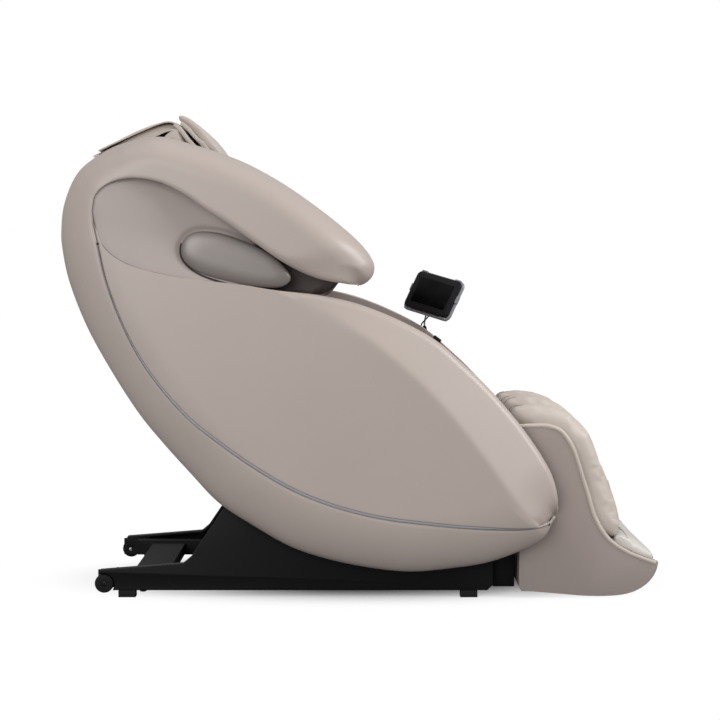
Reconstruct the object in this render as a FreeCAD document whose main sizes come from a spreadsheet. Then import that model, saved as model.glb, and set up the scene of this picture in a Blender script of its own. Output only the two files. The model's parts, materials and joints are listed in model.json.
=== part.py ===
"""Reclining massage chair, drawn as an assembly of separate parts.

Frame: +X is the way the sitter faces, +Z is up, and the origin is on the floor under the middle of the
chair's overall length. Forward positions below are measured from the middle of the four feet, and the
helpers take off origin_ahead. Side parts are drawn for the sitter's right (-Y) and mirrored. All sizes are
millimetres.
"""

import FreeCAD, Part

import math
import os

import Sketcher
from FreeCAD import Placement, Rotation, Vector

DOC = FreeCAD.newDocument("massage_chair")
SHEET = DOC.addObject("Spreadsheet::Sheet", "dims")
NODES = []
UP_Y = Vector(0, 1, 0)

# Driving dimensions: alias, value, what it is.
DIMENSIONS = [
    ("origin_ahead", 165.2, "the origin, forward of the middle of the four feet"),
    ("shell_inner", 300, "inner face of the side shells, from the middle plane"),
    ("shell_outer", 390, "widest point of the side shells"),
    ("shell_wall", 4, "wall of the side shells and the back cover"),
    ("seam_half", 2, "half the width of the light strip's groove"),
    ("dish_inner", 340, "inner face of the recessed dish panel"),
    ("speaker_deep", 34, "depth of the speaker pod"),
    ("liner_inner", 301, "inner face of the arm liner"),
    ("arm_inner", 266, "inner face of the armrest pad"),
    ("arm_thick", 32, "thickness of the armrest pad"),
    ("shoulder_inner", 236, "inner face of the shoulder pad"),
    ("shoulder_thick", 60, "thickness of the shoulder pad"),
    ("seat_half", 258, "half the width of the seat cushion"),
    ("seat_front", 450, "front edge of the seat cushion"),
    ("seat_back", 14, "rear edge of the seat cushion"),
    ("seat_low", 353, "underside of the seat cushion"),
    ("seat_deep", 78, "thickness of the seat cushion"),
    ("back_half", 231, "half the width of the back cushion"),
    ("back_deep", 90, "thickness of the back cushion"),
    ("back_long", 735, "length of the back cushion"),
    ("back_angle", 22, "lean of the backrest from upright, degrees"),
    ("pillow_half", 150, "half the width of the head pillow"),
    ("pillow_deep", 80, "thickness of the head pillow"),
    ("pillow_long", 270, "length of the head pillow"),
    ("tube_wide", 30, "width of the frame tubes"),
    ("tube_high", 40, "height of the frame tubes"),
    ("rail_inner", 205, "inner face of the seat rails"),
    ("seat_rail_low", 305, "underside of the seat rails"),
    ("pivot_pin", 12, "radius of the tilt pivot pins"),
    ("pivot_x", 40, "tilt pivot, forward"),
    ("pivot_z", 250, "tilt pivot, height"),
    ("hinge_x", 497, "leg rest hinge, forward"),
    ("hinge_z", 440, "leg rest hinge, height"),
    ("hinge_pin", 8, "radius of the leg rest hinge pin"),
    ("running_gap", 0.05, "radial running clearance"),
    ("cover_inner", 247, "inner face of the base covers"),
    ("cover_wide", 28, "width of the base covers"),
    ("base_low", 18, "underside of the base covers"),
    ("wheel_r", 24, "radius of the transport wheels"),
    ("wheel_wide", 20, "width of the transport wheels"),
    ("axle_r", 5, "radius of the wheel axles"),
    ("foot_long", 44, "length of a foot pad"),
    ("foot_wide", 28, "width of a foot pad"),
    ("foot_x", 435, "feet in front of and behind the origin"),
    ("leg_half", 285, "half the width of the leg rest"),
    ("leg_side", 23, "thickness of the leg rest's side walls"),
    ("actuator_r", 22, "radius of the actuator tubes"),
    ("rod_r", 9, "radius of the actuator rods"),
    ("tablet_long", 160, "length of the tablet"),
    ("tablet_high", 120, "height of the tablet"),
    ("tablet_deep", 10, "thickness of the tablet"),
]

# Side view of the shell: from the front tip, under the belly, up the back and over to the hood's tip.
HULL = [
    (651, 259), (606, 159), (482, 97), (283, 72), (84, 102), (-116, 192), (-268, 321), (-395, 470),
    (-467, 583), (-527, 695), (-584, 882), (-579, 994), (-497, 1126), (-340, 1164), (-203, 1131), (-41, 1051),
    (108, 944), (180, 866), (192, 804), (258, 712), (357, 645), (500, 546), (594, 446), (647, 341),
]
# Groove of the light strip, from its upper end to the front tip.
TRIM = [
    (-484, 897), (-439, 732), (-348, 564), (-197, 414), (-21, 299), (163, 232), (314, 208), (489, 198),
    (621, 208),
]
# The recessed dish: its upper edge runs under the hood, its lower edge along the arm.
DISH_TOP = [
    (-496, 960), (-469, 1026), (-401, 1053), (-305, 1031), (-229, 995), (-124, 904), (-17, 845), (89, 810),
]
DISH_LOW = [(-496, 960), (-464, 894), (-415, 860), (-347, 830), (-273, 813), (-124, 792), (63, 775)]
HOOD_TIP = [(89, 810), (150, 801), (230, 812)]
ARM_EDGE = [(108, 772), (158, 757), (208, 738), (264, 719), (333, 687)]
ARM_TOP = [(61, 762), (108, 760), (158, 746), (208, 727), (258, 701), (307, 673), (357, 636), (404, 604)]


# ---------------------------------------------------------------- helpers

def fill_sheet():
    """Writes the driving dimensions as aliased cells."""
    for row, (alias, value, note) in enumerate(DIMENSIONS, start=1):
        SHEET.set(f"A{row}", note)
        SHEET.set(f"B{row}", str(value))
        SHEET.setAlias(f"B{row}", alias)
    DOC.recompute()


def dim(alias):
    return float(SHEET.get(alias))


def bind(obj, **sizes):
    """Sets each property to a number, or binds it to an expression over the sheet."""
    for prop, size in sizes.items():
        path = prop.replace("__", ".")
        if isinstance(size, str):
            obj.setExpression(path, size)
        elif "." in path:
            obj.setExpression(path, str(size))
        else:
            setattr(obj, prop, size)
    return obj


def node(obj, label=None):
    """Marks an object as a sub-part: its label names the exported file."""
    obj.Label = label or obj.Name
    NODES.append(obj)
    return obj


def put(part, at):
    """Places a part at a position measured from the middle of the feet."""
    x = f"{at[0]} - dims.origin_ahead"
    return bind(part, Placement__Base__x=x, Placement__Base__y=at[1], Placement__Base__z=at[2])


def box(name, size, at, lean=0.0):
    """A block from its low corner, turned about +Y by lean degrees."""
    part = DOC.addObject("Part::Box", name)
    bind(part, Length=size[0], Width=size[1], Height=size[2])
    part.Placement = Placement(Vector(0, 0, 0), Rotation(UP_Y, lean))
    return put(part, at)


def rod(name, radius, length, at, along=(0, 1, 0)):
    """A cylinder from the centre of its first end."""
    part = DOC.addObject("Part::Cylinder", name)
    bind(part, Radius=radius, Height=length)
    part.Placement = Placement(Vector(0, 0, 0), Rotation(Vector(0, 0, 1), Vector(*along)))
    return put(part, at)


def fuse(name, parts):
    joined = DOC.addObject("Part::MultiFuse", name)
    joined.Shapes = parts
    return joined


def cut(name, base, tools):
    """base with every tool taken away."""
    result = DOC.addObject("Part::Cut", name)
    result.Base = base
    result.Tool = tools[0] if len(tools) == 1 else fuse(name + "_tools", tools)
    return result


def group(name, parts):
    """Separate solids that share one node."""
    together = DOC.addObject("Part::Compound", name)
    together.Links = parts
    return together


def mirrored(name, source):
    """The left-hand copy of a right-hand part."""
    twin = DOC.addObject("Part::Mirroring", name)
    twin.Source = source
    twin.Normal = UP_Y
    return twin


def pair(name, right):
    """A right-hand part and its mirror image as one node."""
    return node(group(name, [right, mirrored(name + "_left", right)]))


def both_sides(stem, make):
    """Builds STEM_right with make(name) and mirrors it to STEM_left."""
    right = node(make(stem + "_right"))
    return right, node(mirrored(stem + "_left", right))


def edges(path):
    """Edges through a closed list of stretches: two points make a line, more make a smooth curve."""
    made = []
    for stretch in path:
        points = [Vector(x, z, 0) for x, z in stretch]
        if len(points) == 2:
            made.append(Part.LineSegment(*points))
        else:
            curve = Part.BSplineCurve()
            curve.interpolate(points)
            made.append(curve)
    return made


def polygon(points):
    """A closed outline of straight stretches."""
    return [[a, b] for a, b in zip(points, points[1:] + points[:1])]


def new_body(name):
    return DOC.addObject("PartDesign::Body", name)


def plane_of(body, role):
    return next(f for f in body.Origin.OriginFeatures if f.Role == role)


def side_sketch(body, name, geometry, inner):
    """A sketch in a plane parallel to XZ, inner millimetres to the right of the middle plane."""
    sketch = body.newObject("Sketcher::SketchObject", name)
    sketch.AttachmentSupport = [(plane_of(body, "XZ_Plane"), "")]
    sketch.MapMode = "FlatFace"
    bind(sketch, AttachmentOffset__Base__x="-dims.origin_ahead", AttachmentOffset__Base__z=inner)
    for piece in geometry:
        sketch.addGeometry(piece, False)
    return sketch


def side_body(name, path, inner, thick):
    """A body padded outwards (to the sitter's right) from inner, over thick."""
    body = new_body(name)
    sketch = side_sketch(body, name + "_outline", edges(path), inner)
    pad = body.newObject("PartDesign::Pad", name + "_pad")
    pad.Profile = sketch
    bind(pad, Length=thick)
    DOC.recompute()
    return body


def side_pocket(body, name, geometry, inner, depth):
    """Cuts an outline out of a body, from inner outwards over depth."""
    sketch = side_sketch(body, name + "_outline", geometry, inner)
    pocket = body.newObject("PartDesign::Pocket", name)
    pocket.Profile = sketch
    pocket.Reversed = True
    bind(pocket, Length=depth)
    DOC.recompute()
    return pocket


def circle(x, z, radius):
    return Part.Circle(Vector(x, z, 0), Vector(0, 0, 1), radius)


def round_edges(body, name, radius, wanted):
    """Fillets the edges that wanted(edge) picks."""
    tip = body.Tip
    names = [f"Edge{i}" for i, e in enumerate(tip.Shape.Edges, start=1) if wanted(e)]
    fillet = body.newObject("PartDesign::Fillet", name)
    fillet.Base = (tip, names)
    bind(fillet, Radius=radius)
    DOC.recompute()
    return fillet


def feature(name, shape):
    part = DOC.addObject("Part::Feature", name)
    part.Shape = shape
    bind(part, Placement__Base__x="-dims.origin_ahead")
    return part


def side_wire(path, y):
    """A closed wire in the plane at y."""
    shapes = [e.toShape() for e in edges(path)]
    wire = Part.Wire(shapes)
    return wire.transformGeometry(Placement(Vector(0, y, 0), Rotation(Vector(1, 0, 0), 90)).toMatrix())


def prism(path, y, depth):
    return Part.Face(side_wire(path, y)).extrude(Vector(0, depth, 0))


def back_point(along, out, y=0.0):
    """A point measured from the foot of the backrest: up along it, and out in front of it."""
    lean = math.radians(dim("back_angle"))
    x = dim("seat_back") - 4 - along * math.sin(lean) + out * math.cos(lean)
    z = dim("seat_low") + dim("seat_deep") + along * math.cos(lean) + out * math.sin(lean)
    return x, y, z


# ---------------------------------------------------------------- base

def base_covers():
    """Side covers: low at the rear arm, rising under the shell, with a notch for the wheel."""
    low = dim("base_low")
    outline = [
        (-505, low), (-505, 69), (-292, 86), (-272, 103), (-183, 235), (-60, 190), (200, 140), (478, 125),
        (496, 108), (496, 32), (482, low),
    ]

    hollow = [
        (-440, low + 4), (-440, 68), (-288, 80), (-264, 101), (-178, 226), (-62, 184), (199, 134), (474, 119),
        (490, 104), (490, 34), (480, low + 4),
    ]
    body = side_body("base_cover_right", polygon(outline), "dims.cover_inner", "dims.cover_wide")
    side_pocket(body, "cover_hollow", edges(polygon(hollow)), "dims.cover_inner", "dims.cover_wide - 4")
    notch = [circle(-494, 34, dim("wheel_r") + 3)]
    side_pocket(body, "wheel_notch", notch, "dims.cover_inner", "dims.cover_wide")
    pair("base_covers", body)


def base_frame():
    """Welded steel: two long tubes, cross tubes, the rear plate and the wheel brackets."""
    tubes = [
        box("long_tube_right", (950, 35, 40), (-470, -240, 25)),
        box("long_tube_left", (950, 35, 40), (-470, "240 - 35", 25)),
    ]
    for i, (x, wide) in enumerate([(-425, 90), (-20, 50), (400, 50)]):
        tubes.append(box(f"cross_tube_{i}", (wide, 410, 30), (x, -205, 28)))
    for side, y in (("right", -246), ("left", 240)):
        tubes.append(box(f"wheel_bracket_{side}", (65, 6, 46), (-512, y, 20)))
    holes = [rod("axle_holes", "dims.axle_r + 0.02", 520, (-494, -260, 34))]
    for i, (x, y) in enumerate(RAIL_BOLTS):
        holes.append(rod(f"rail_hole_{i}", 3.2, 60, (x, y, 20), (0, 0, 1)))
    node(cut("base_frame", fuse("base_tubes", tubes), holes))


RAIL_BOLTS = [(x, side * 222.5) for side in (-1, 1) for x in (-140, 90, 320)]


def slide_rails():
    """Two guide rails bolted along the base tubes, on which the seat carriage runs."""
    bars = [box(f"rail_{i}", (500, 15, 12), (-160, y, 65)) for i, y in enumerate((-230, 215))]
    holes = []
    for i, (x, y) in enumerate(RAIL_BOLTS):
        holes.append(rod(f"bolt_way_{i}", 3.2, 20, (x, y, 60), (0, 0, 1)))
        holes.append(rod(f"bolt_sink_{i}", 5.4, 10, (x, y, 71), (0, 0, 1)))
    node(cut("slide_rails", group("rail_pair", bars), holes))
    bolts = []
    for i, (x, y) in enumerate(RAIL_BOLTS):
        shank = rod(f"bolt_shank_{i}", 3, 40, (x, y, 31), (0, 0, 1))
        head = rod(f"bolt_head_{i}", 5, 5, (x, y, 71.1), (0, 0, 1))
        bolts.append(fuse(f"rail_bolt_{i}", [shank, head]))
        bind(shank, Height=41)
    node(group("rail_bolts", bolts))


def base_small_parts():
    """Front cover, feet, wheel axles and the power box."""
    front = box("front_cover_block", (56, 470, 118), (498, -235, 20))
    hollow = box("front_cover_hollow", (60, 462, 114), (494, -231, 16))
    node(cut("base_front_cover", front, [hollow]))

    pads = []
    for i, (x, y) in enumerate([(sx * dim("foot_x"), sy * 261) for sx in (-1, 1) for sy in (-1, 1)]):
        at = (f"{x} - dims.foot_long / 2", f"{y} - dims.foot_wide / 2", 0)
        pads.append(box(f"foot_pad_{i}", ("dims.foot_long", "dims.foot_wide", "dims.base_low - 0.2"), at))
    node(group("base_feet", pads))

    axles = [
        rod("axle_right", "dims.axle_r", 34, (-494, -273, 34)),
        rod("axle_left", "dims.axle_r", 34, (-494, 239, 34)),
    ]
    node(group("wheel_axles", axles))

    box_body = box("power_box_block", (170, 240, 56), (-230, -120, 60))
    socket = box("power_socket_way", (20, 28, 20), (-240, -70, 78))
    switch_way = box("power_switch_way", (20, 23, 34), (-236, 28.5, 70))
    pin_way = rod("rocker_pin_way", 2.05, 27, (-222, 26.5, 87))
    node(cut("power_box", box_body, [socket, switch_way, pin_way]))
    outline = polygon([(-226, 74), (-219, 87), (-226, 100), (-232, 98), (-230, 87), (-232, 76)])
    rocker = side_body("rocker_block", outline, -51, 22)
    node(fuse("power_switch", [rocker, rod("rocker_pin", 2, 26, (-222, 27, 87))]))


def transport_wheels():
    def make(name):
        body = new_body(name)
        sketch = side_sketch(body, name + "_rim", [
            circle(-494, 34, dim("wheel_r")), circle(-494, 34, dim("axle_r") + dim("running_gap"))], 251)
        pad = body.newObject("PartDesign::Pad", name + "_tread")
        pad.Profile = sketch
        bind(pad, Length="dims.wheel_wide")
        DOC.recompute()
        round_edges(body, name + "_round", 4, lambda e: abs(e.BoundBox.XLength - 2 * dim("wheel_r")) < 1)
        return body

    both_sides("transport_wheel", make)


# ---------------------------------------------------------------- carriage

def carriage():
    """The frame that slides along the base and carries the tilt pivots."""
    parts = [
        box("beam_right", (300, 40, 20), (-60, -242, 96)),
        box("beam_left", (300, 40, 20), (-60, 202, 96)),
        box("beam_cross_rear", (40, 404, 14), (-20, -202, 97)),
        box("beam_cross_front", (60, 404, 14), (150, -202, 97)),
    ]
    px, pz = dim("pivot_x"), dim("pivot_z")
    tower = polygon([(px - 60, 116), (px + 60, 116), (px + 18, pz + 8), (px + 10, pz + 18),
                     (px - 10, pz + 18), (px - 18, pz + 8)])
    for side in ("right", "left"):
        plate = side_body(f"tower_{side}", tower, 218 if side == "right" else -226, 8)
        parts.append(plate)
    parts.append(box("actuator_foot_a", (30, 8, 60), (155, 88, 105)))
    parts.append(box("actuator_foot_b", (30, 8, 60), (155, 124, 105)))
    holes = [
        rod("tower_holes", "dims.pivot_pin + 0.02", 480, ("dims.pivot_x", -240, "dims.pivot_z")),
        rod("actuator_foot_hole", 6.02, 60, (170, 80, 150)),
    ]
    node(cut("seat_carriage", fuse("carriage_parts", parts), holes))

    blocks = []
    for i, (x, y) in enumerate([(x, y) for x in (-50, 190) for y in (-222.5, 222.5)]):
        block = box(f"glide_{i}", (40, 30, 24), (x, f"{y} - 15", 71.8))
        slot = box(f"glide_slot_{i}", (44, 16, 6), (x - 2, f"{y} - 8", 71.5))
        blocks.append(cut(f"glide_block_{i}", block, [slot]))
    node(group("glide_blocks", blocks))

    pins = [
        rod("pin_right", "dims.pivot_pin", 26, ("dims.pivot_x", -229, "dims.pivot_z")),
        rod("pin_left", "dims.pivot_pin", 26, ("dims.pivot_x", 203, "dims.pivot_z")),
        rod("pin_actuator", 6, 48, (170, 86, 150)),
    ]
    node(group("tilt_pins", pins))


def actuator(stem, foot, head, y, body_long, eye_r):
    """A linear actuator from foot to head in the plane y: a tube with its motor, and its rod."""
    run = Vector(head[0] - foot[0], 0, head[1] - foot[1])
    length = run.Length
    axis = tuple(run.normalize())
    at = lambda s: (foot[0] + axis[0] * s, y, foot[1] + axis[2] * s)
    aside = Vector(axis[2], 0, -axis[0])
    tube = rod(stem + "_tube", "dims.actuator_r", body_long - 38, at(38), axis)
    lug = rod(stem + "_lug", 14, 22, (foot[0], y - 11, foot[1]))
    neck = rod(stem + "_neck", 9, 46, at(4), axis)
    motor_at = [a + b * 40 for a, b in zip(at(60), aside)]
    motor = rod(stem + "_motor", 20, 90, tuple(motor_at), axis)
    bridge = box(stem + "_bridge", (24, 30, 40), (at(80)[0] - 12, y - 15, at(80)[2] - 40))
    way = rod(stem + "_way", "dims.rod_r + 0.1", length, at(40), axis)
    pin_way = rod(stem + "_pin_way", eye_r, 60, (foot[0], y - 30, foot[1]))
    node(cut(stem + "_body", fuse(stem + "_castings", [tube, lug, neck, motor, bridge]), [way, pin_way]))
    shaft = rod(stem + "_shaft", "dims.rod_r", length - 58, at(48), axis)
    eye = rod(stem + "_eye", 14, 14, (head[0], y - 7, head[1]))
    eye_way = rod(stem + "_eye_way", 6.5, 30, (head[0], y - 15, head[1]))
    node(cut(stem + "_rod", fuse(stem + "_rod_blank", [shaft, eye]), [eye_way]))


# ---------------------------------------------------------------- the reclining shell's frame

POST_OUT = -240


def pod_frame():
    """Seat rails, back posts, cross tubes and the lugs of both hinges, welded into one frame."""
    lean = -dim("back_angle")
    low = dim("seat_rail_low")
    tubes = []
    for side, y in (("right", "0 - dims.rail_inner - dims.tube_wide"), ("left", "dims.rail_inner")):
        size = (630, "dims.tube_wide", "dims.tube_high")
        tubes.append(box(f"seat_rail_{side}", size, (-180, y, "dims.seat_rail_low")))
        foot = back_point(-150, POST_OUT)
        tubes.append(box(f"back_post_{side}", (40, "dims.tube_wide", 850), (foot[0], y, foot[2]), lean))
    tubes.append(box("seat_pan", (600, 480, 6), (-165, -240, "dims.seat_low - 8.5")))
    tubes.append(box("seat_cross_rear", (30, 410, 30), (-180, -205, low + 5)))
    tubes.append(box("seat_cross_front", (30, 410, 25), (408, -205, low + 15)))
    for i, along in enumerate((20, 360, 670)):
        x, _, z = back_point(along, POST_OUT + 8)
        tubes.append(box(f"back_cross_{i}", (26, 470, 30), (x, -235, z), lean))
    for i, (along, y) in enumerate([(a, y) for a in (24, 674) for y in (-150, 138)]):
        x, _, z = back_point(along, POST_OUT + 30)
        tubes.append(box(f"track_stay_{i}", (-POST_OUT - 172.5, 12, 22), (x, y, z), lean))
    back_bars = [back_point(along, POST_OUT + 5)[::2] for along in (300, 560)]
    for i, (x, z) in enumerate([(300, 312), (-60, 312)] + back_bars):
        for side, y in (("right", -299), ("left", 235)):
            tubes.append(box(f"outrigger_{i}_{side}", (30, 64, 20), (x, y, z)))
    px, pz = dim("pivot_x"), dim("pivot_z")
    hx, hz = dim("hinge_x"), dim("hinge_z")
    tilt_lug = polygon([(px - 50, low + 5), (px + 50, low + 5), (px + 20, pz - 8), (px + 10, pz - 18),
                        (px - 10, pz - 18), (px - 20, pz - 8)])
    knee_lug = polygon([(442, low), (452, low), (474, 330), (hx + 16, hz - 6), (hx + 12, hz + 12),
                        (hx - 12, hz + 12), (hx - 18, hz), (452, 360), (442, 345)])
    for side, inner in (("right", 207), ("left", -215)):
        tubes.append(side_body(f"tilt_lug_{side}", tilt_lug, inner, 8))
        tubes.append(side_body(f"knee_lug_{side}", knee_lug, inner, 8))
    foot_lug = polygon([(120, low + 30), (180, low + 30), (166, 142), (158, 134), (142, 134), (134, 142)])
    head_lug = polygon([(330, low + 20), (400, low + 20), (388, 268), (372, 262), (356, 268)])
    tubes.append(side_body("leg_drive_lug_a", foot_lug, 13, 8))
    tubes.append(side_body("leg_drive_lug_b", foot_lug, -21, 8))
    tubes.append(side_body("tilt_drive_lug", head_lug, -130, 8))
    tubes.append(box("lug_bar", (30, 410, 20), (135, -205, low + 18)))
    tubes.append(box("lug_bar_front", (30, 410, 20), (350, -205, low + 18)))
    holes = [
        rod("tilt_lug_holes", "dims.pivot_pin + dims.running_gap", 480,
            ("dims.pivot_x", -240, "dims.pivot_z")),
        rod("knee_lug_holes", "dims.hinge_pin + 0.02", 480, ("dims.hinge_x", -240, "dims.hinge_z")),
        rod("leg_drive_hole", 6.02, 60, (150, -30, 150)),
    ]
    node(cut("pod_frame", fuse("pod_tubes", tubes), holes))
    hinge = rod("knee_pin", "dims.hinge_pin", 436, ("dims.hinge_x", -218, "dims.hinge_z"))
    drive = rod("leg_drive_pin", 6, 48, (150, -24, 150))
    node(group("pod_pins", [hinge, drive]))


# ---------------------------------------------------------------- shells

def hull_wire(scale, y):
    """The silhouette shrunk about its middle, as a closed smooth wire at y."""
    cx, cz = 60, 600
    points = [Vector(cx + (x - cx) * scale, y, cz + (z - cz) * scale) for x, z in HULL]
    curve = Part.BSplineCurve()
    curve.interpolate(points, True)
    return Part.Wire(curve.toShape())


def lens(inset, start):
    """The bulged side of the shell as a solid: sections that shrink as they near the widest point."""
    inner, outer = dim("shell_inner"), dim("shell_outer")
    bulge = outer - inner
    steps = [(start, 1.0), (0.45, 0.993), (0.78, 0.955), (0.94, 0.87), (1.0, 0.74)]
    shrink = inset / 560
    wires = [hull_wire(scale - shrink, -(inner + part * (bulge - inset))) for part, scale in steps]
    return Part.makeLoft(wires, True, False)


def largest(shape):
    return max(shape.Solids, key=lambda solid: solid.Volume)


def shifted(points, by):
    return [(x + by, z + by) for x, z in points]


def shell_panels():
    """Outer shell, arm panel and light strip: one bulged skin cut along the groove and the dish."""
    skin = lens(0.0, 0.0).cut(lens(dim("shell_wall"), -0.1))
    gap = dim("seam_half")
    far, deep = -420, 140
    rear_trim, front_trim = shifted(TRIM, -gap), shifted(TRIM, gap)
    rear_end, front_end = rear_trim[-1], front_trim[-1]
    around = [HOOD_TIP[-1], (230, 1250), (-700, 1250), (-700, 0), (700, 0), (700, rear_end[1]), rear_end]
    c_path = [rear_trim[::-1], [rear_trim[0], DISH_TOP[0]], DISH_TOP, HOOD_TIP]
    c_path += [[a, b] for a, b in zip(around, around[1:])]
    outer_skin = skin.common(prism(c_path, far, deep))

    low_dish = DISH_LOW[1:] + ARM_EDGE
    beyond = [low_dish[-1], (700, 690), (700, front_end[1]), front_end]
    leaf_path = [front_trim[::-1], [front_trim[0], low_dish[0]], low_dish]
    leaf_path += [[a, b] for a, b in zip(beyond, beyond[1:])]
    leaf_skin = skin.common(prism(leaf_path, far, deep))

    in_by = 0.5
    lower, upper = shifted(TRIM, in_by - gap), shifted(TRIM, gap - in_by)
    strip_path = [lower, [lower[-1], upper[-1]], upper[::-1], [upper[0], lower[0]]]
    strip = skin.common(prism(strip_path, far, deep))
    for stem, shape in (("outer_shell", outer_skin), ("arm_panel", leaf_skin)):
        both_sides(stem, lambda name, shape=shape: feature(name, largest(shape)))
    pair("light_strips", feature("light_strip_right", largest(strip)))


def dish_and_speaker():
    """The recessed dish panel and the speaker pod that stands on it."""
    inset_top = [(x * 0.985 - 2, z - 6) for x, z in DISH_TOP[1:]]
    inset_low = [(x * 0.985 - 2, z + 5) for x, z in DISH_LOW[1:]]
    path = [inset_low, [inset_low[-1], inset_top[-1]], inset_top[::-1], [inset_top[0], inset_low[0]]]
    pair("dish_panels", side_body("dish_panel_right", path, "dims.dish_inner", "dims.shell_wall"))

    body = new_body("speaker_pod_right")
    ellipse = Part.Ellipse(Vector(-147, 848, 0), 138, 38)
    ellipse.rotate(Placement(Vector(-147, 848, 0), Rotation(Vector(0, 0, 1), -17), Vector(0, 0, 0)))
    sketch = side_sketch(body, "speaker_outline", [ellipse], "dims.dish_inner + dims.shell_wall + 0.5")
    pad = body.newObject("PartDesign::Pad", "speaker_pad")
    pad.Profile = sketch
    bind(pad, Length="dims.speaker_deep")
    DOC.recompute()
    outer_y = -(dim("dish_inner") + dim("shell_wall") + 0.5 + dim("speaker_deep"))
    round_edges(body, "speaker_crown", 9, lambda e: e.BoundBox.YMax < outer_y + 0.1)
    pair("speaker_pods", body)


def back_cover():
    """The middle of the back: a bent panel between the side shells, and the black skirt below it."""
    spine = [(-335, 1158), (-486, 1121), (-567, 992), (-572, 882), (-516, 698), (-457, 588), (-360, 443)]
    inside = [(x + 4 if z < 1100 else x + 1, z - 4 if z > 1000 else z - 1) for x, z in spine]
    inside[0] = (-335, 1154)
    path = [spine, [spine[-1], inside[-1]], inside[::-1], [inside[0], spine[0]]]
    node(side_body("back_cover", path, "4 - dims.shell_inner - 2", "2 * dims.shell_inner - 4"))
    edge = [(-368, 428), (-261, 314), (-200, 268)]
    low = [(x + 6, z + 6) for x, z in edge]
    path = [edge, [edge[-1], low[-1]], low[::-1], [low[0], edge[0]]]
    node(side_body("rear_skirt", path, -235, 470))


def arm_liners():
    """The flat inner skin of the arms, inside the shell's rim."""
    trim = [(x * 0.95 + 12, z + 16) for x, z in TRIM[2:-1]]
    top = [(602, 250), (620, 320), (572, 440), (486, 535)] + ARM_TOP[::-1]
    path = [trim, [trim[-1], top[0]], top, [top[-1], trim[0]]]
    pair("arm_liners", side_body("arm_liner_right", path, "dims.liner_inner", "dims.shell_wall"))


# ---------------------------------------------------------------- soft parts (plain closed solids)

def cushions():
    path = [ARM_TOP] + polygon([ARM_TOP[-1], (400, 440), (-120, 440), (-120, 756), ARM_TOP[0]])[:-1]
    pair("armrest_pads", side_body("armrest_pad_right", path, "dims.arm_inner", "dims.arm_thick"))
    rim = [(50, 778), (90, 792), (104, 820), (60, 905), (-60, 1000), (-200, 1066), (-300, 1084)]
    path = [rim] + polygon([rim[-1], (-215, 778), rim[0]])[:-1]
    pair("shoulder_pads", side_body("shoulder_pad_right", path, "dims.shoulder_inner", "dims.shoulder_thick"))
    seat = box("seat_block", ("dims.seat_front - dims.seat_back", "dims.seat_half * 2", "dims.seat_deep"),
               ("dims.seat_back", "0 - dims.seat_half", "dims.seat_low"))
    node(soft("seat_cushion", seat, 24))
    x, _, z = back_point(4, -dim("back_deep"))
    back = box("back_block", ("dims.back_deep", "dims.back_half * 2", "dims.back_long"),
               (x, "0 - dims.back_half", z), -dim("back_angle"))
    node(soft("back_cushion", back, 20))
    x, _, z = back_point(575, 2)
    pillow = box("pillow_block", ("dims.pillow_deep", "dims.pillow_half * 2", "dims.pillow_long"),
                 (x, "0 - dims.pillow_half", z), -dim("back_angle"))
    node(soft("head_pillow", pillow, 30))
    crest = [(-300, 1196), (-350, 1210), (-425, 1186), (-523, 1136)]
    under = [(x, z - 10) for x, z in crest]
    path = [crest, [crest[-1], under[-1]], under[::-1], [under[0], crest[0]]]
    node(side_body("pillow_flap", path, "0 - dims.pillow_half", "dims.pillow_half * 2"))


def soft(name, block, radius):
    """A block with every edge rounded."""
    fillet = DOC.addObject("Part::Fillet", name)
    fillet.Base = block
    DOC.recompute()
    fillet.Edges = [(i, radius, radius) for i in range(1, len(block.Shape.Edges) + 1)]
    return fillet


# ---------------------------------------------------------------- massage mechanism

def massage_unit():
    """Tracks behind the back cushion, the motor carriage that climbs them, and its two kneading arms."""
    lean = -dim("back_angle")
    tracks = []
    for i, y in enumerate((-150, 138)):
        x, _, z = back_point(10, -142)
        tracks.append(box(f"track_{i}", (34, 12, 700), (x, y, z), lean))
    node(group("massage_tracks", tracks))

    x, _, z = back_point(70, -166)
    chassis = box("massage_chassis", (46, 270, 110), (x, -135, z), lean)
    shaft_x, _, shaft_z = back_point(125, -134)
    tools = [rod("knead_shaft_way", 8.05, 280, (shaft_x, -140, shaft_z))]
    for i, y in enumerate((-108, 50)):
        x, _, z = back_point(60, -148)
        tools.append(box(f"knead_slot_{i}", (60, 58, 130), (x, y, z), lean))
    node(cut("massage_carriage", chassis, tools))
    node(rod("knead_shaft", 8, 260, (shaft_x, -130, shaft_z)))
    x, _, z = back_point(90, -205)
    node(box("massage_motor", (38, 90, 60), (x, -45, z), lean))

    for side, y, pin_y, head_y in (("right", -76, -100, -100), ("left", 56, 76, 77)):
        blank = [rod(f"knead_ring_{side}", 13, 20, (shaft_x, y, shaft_z))]
        x, _, z = back_point(70, -126)
        blank.append(box(f"knead_bar_{side}", (14, 20, 110), (x, y, z), lean))
        heads = []
        for i, along in enumerate((76, 174)):
            x, _, z = back_point(along, -118)
            blank.append(rod(f"knead_pin_{side}_{i}", 5, 24, (x, pin_y, z)))
            drum = rod(f"knead_drum_{side}_{i}", 17, 23, (x, head_y, z))
            bore = rod(f"knead_bore_{side}_{i}", 5.05, 40, (x, head_y - 8, z))
            heads.append(cut(f"knead_head_{side}_{i}", drum, [bore]))
        way = rod(f"knead_way_{side}", 8.05, 40, (shaft_x, y - 10, shaft_z))
        node(cut(f"kneading_arm_{side}", fuse(f"knead_blank_{side}", blank), [way]))
        node(group(f"massage_rollers_{side}", heads))


# ---------------------------------------------------------------- leg rest

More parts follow.
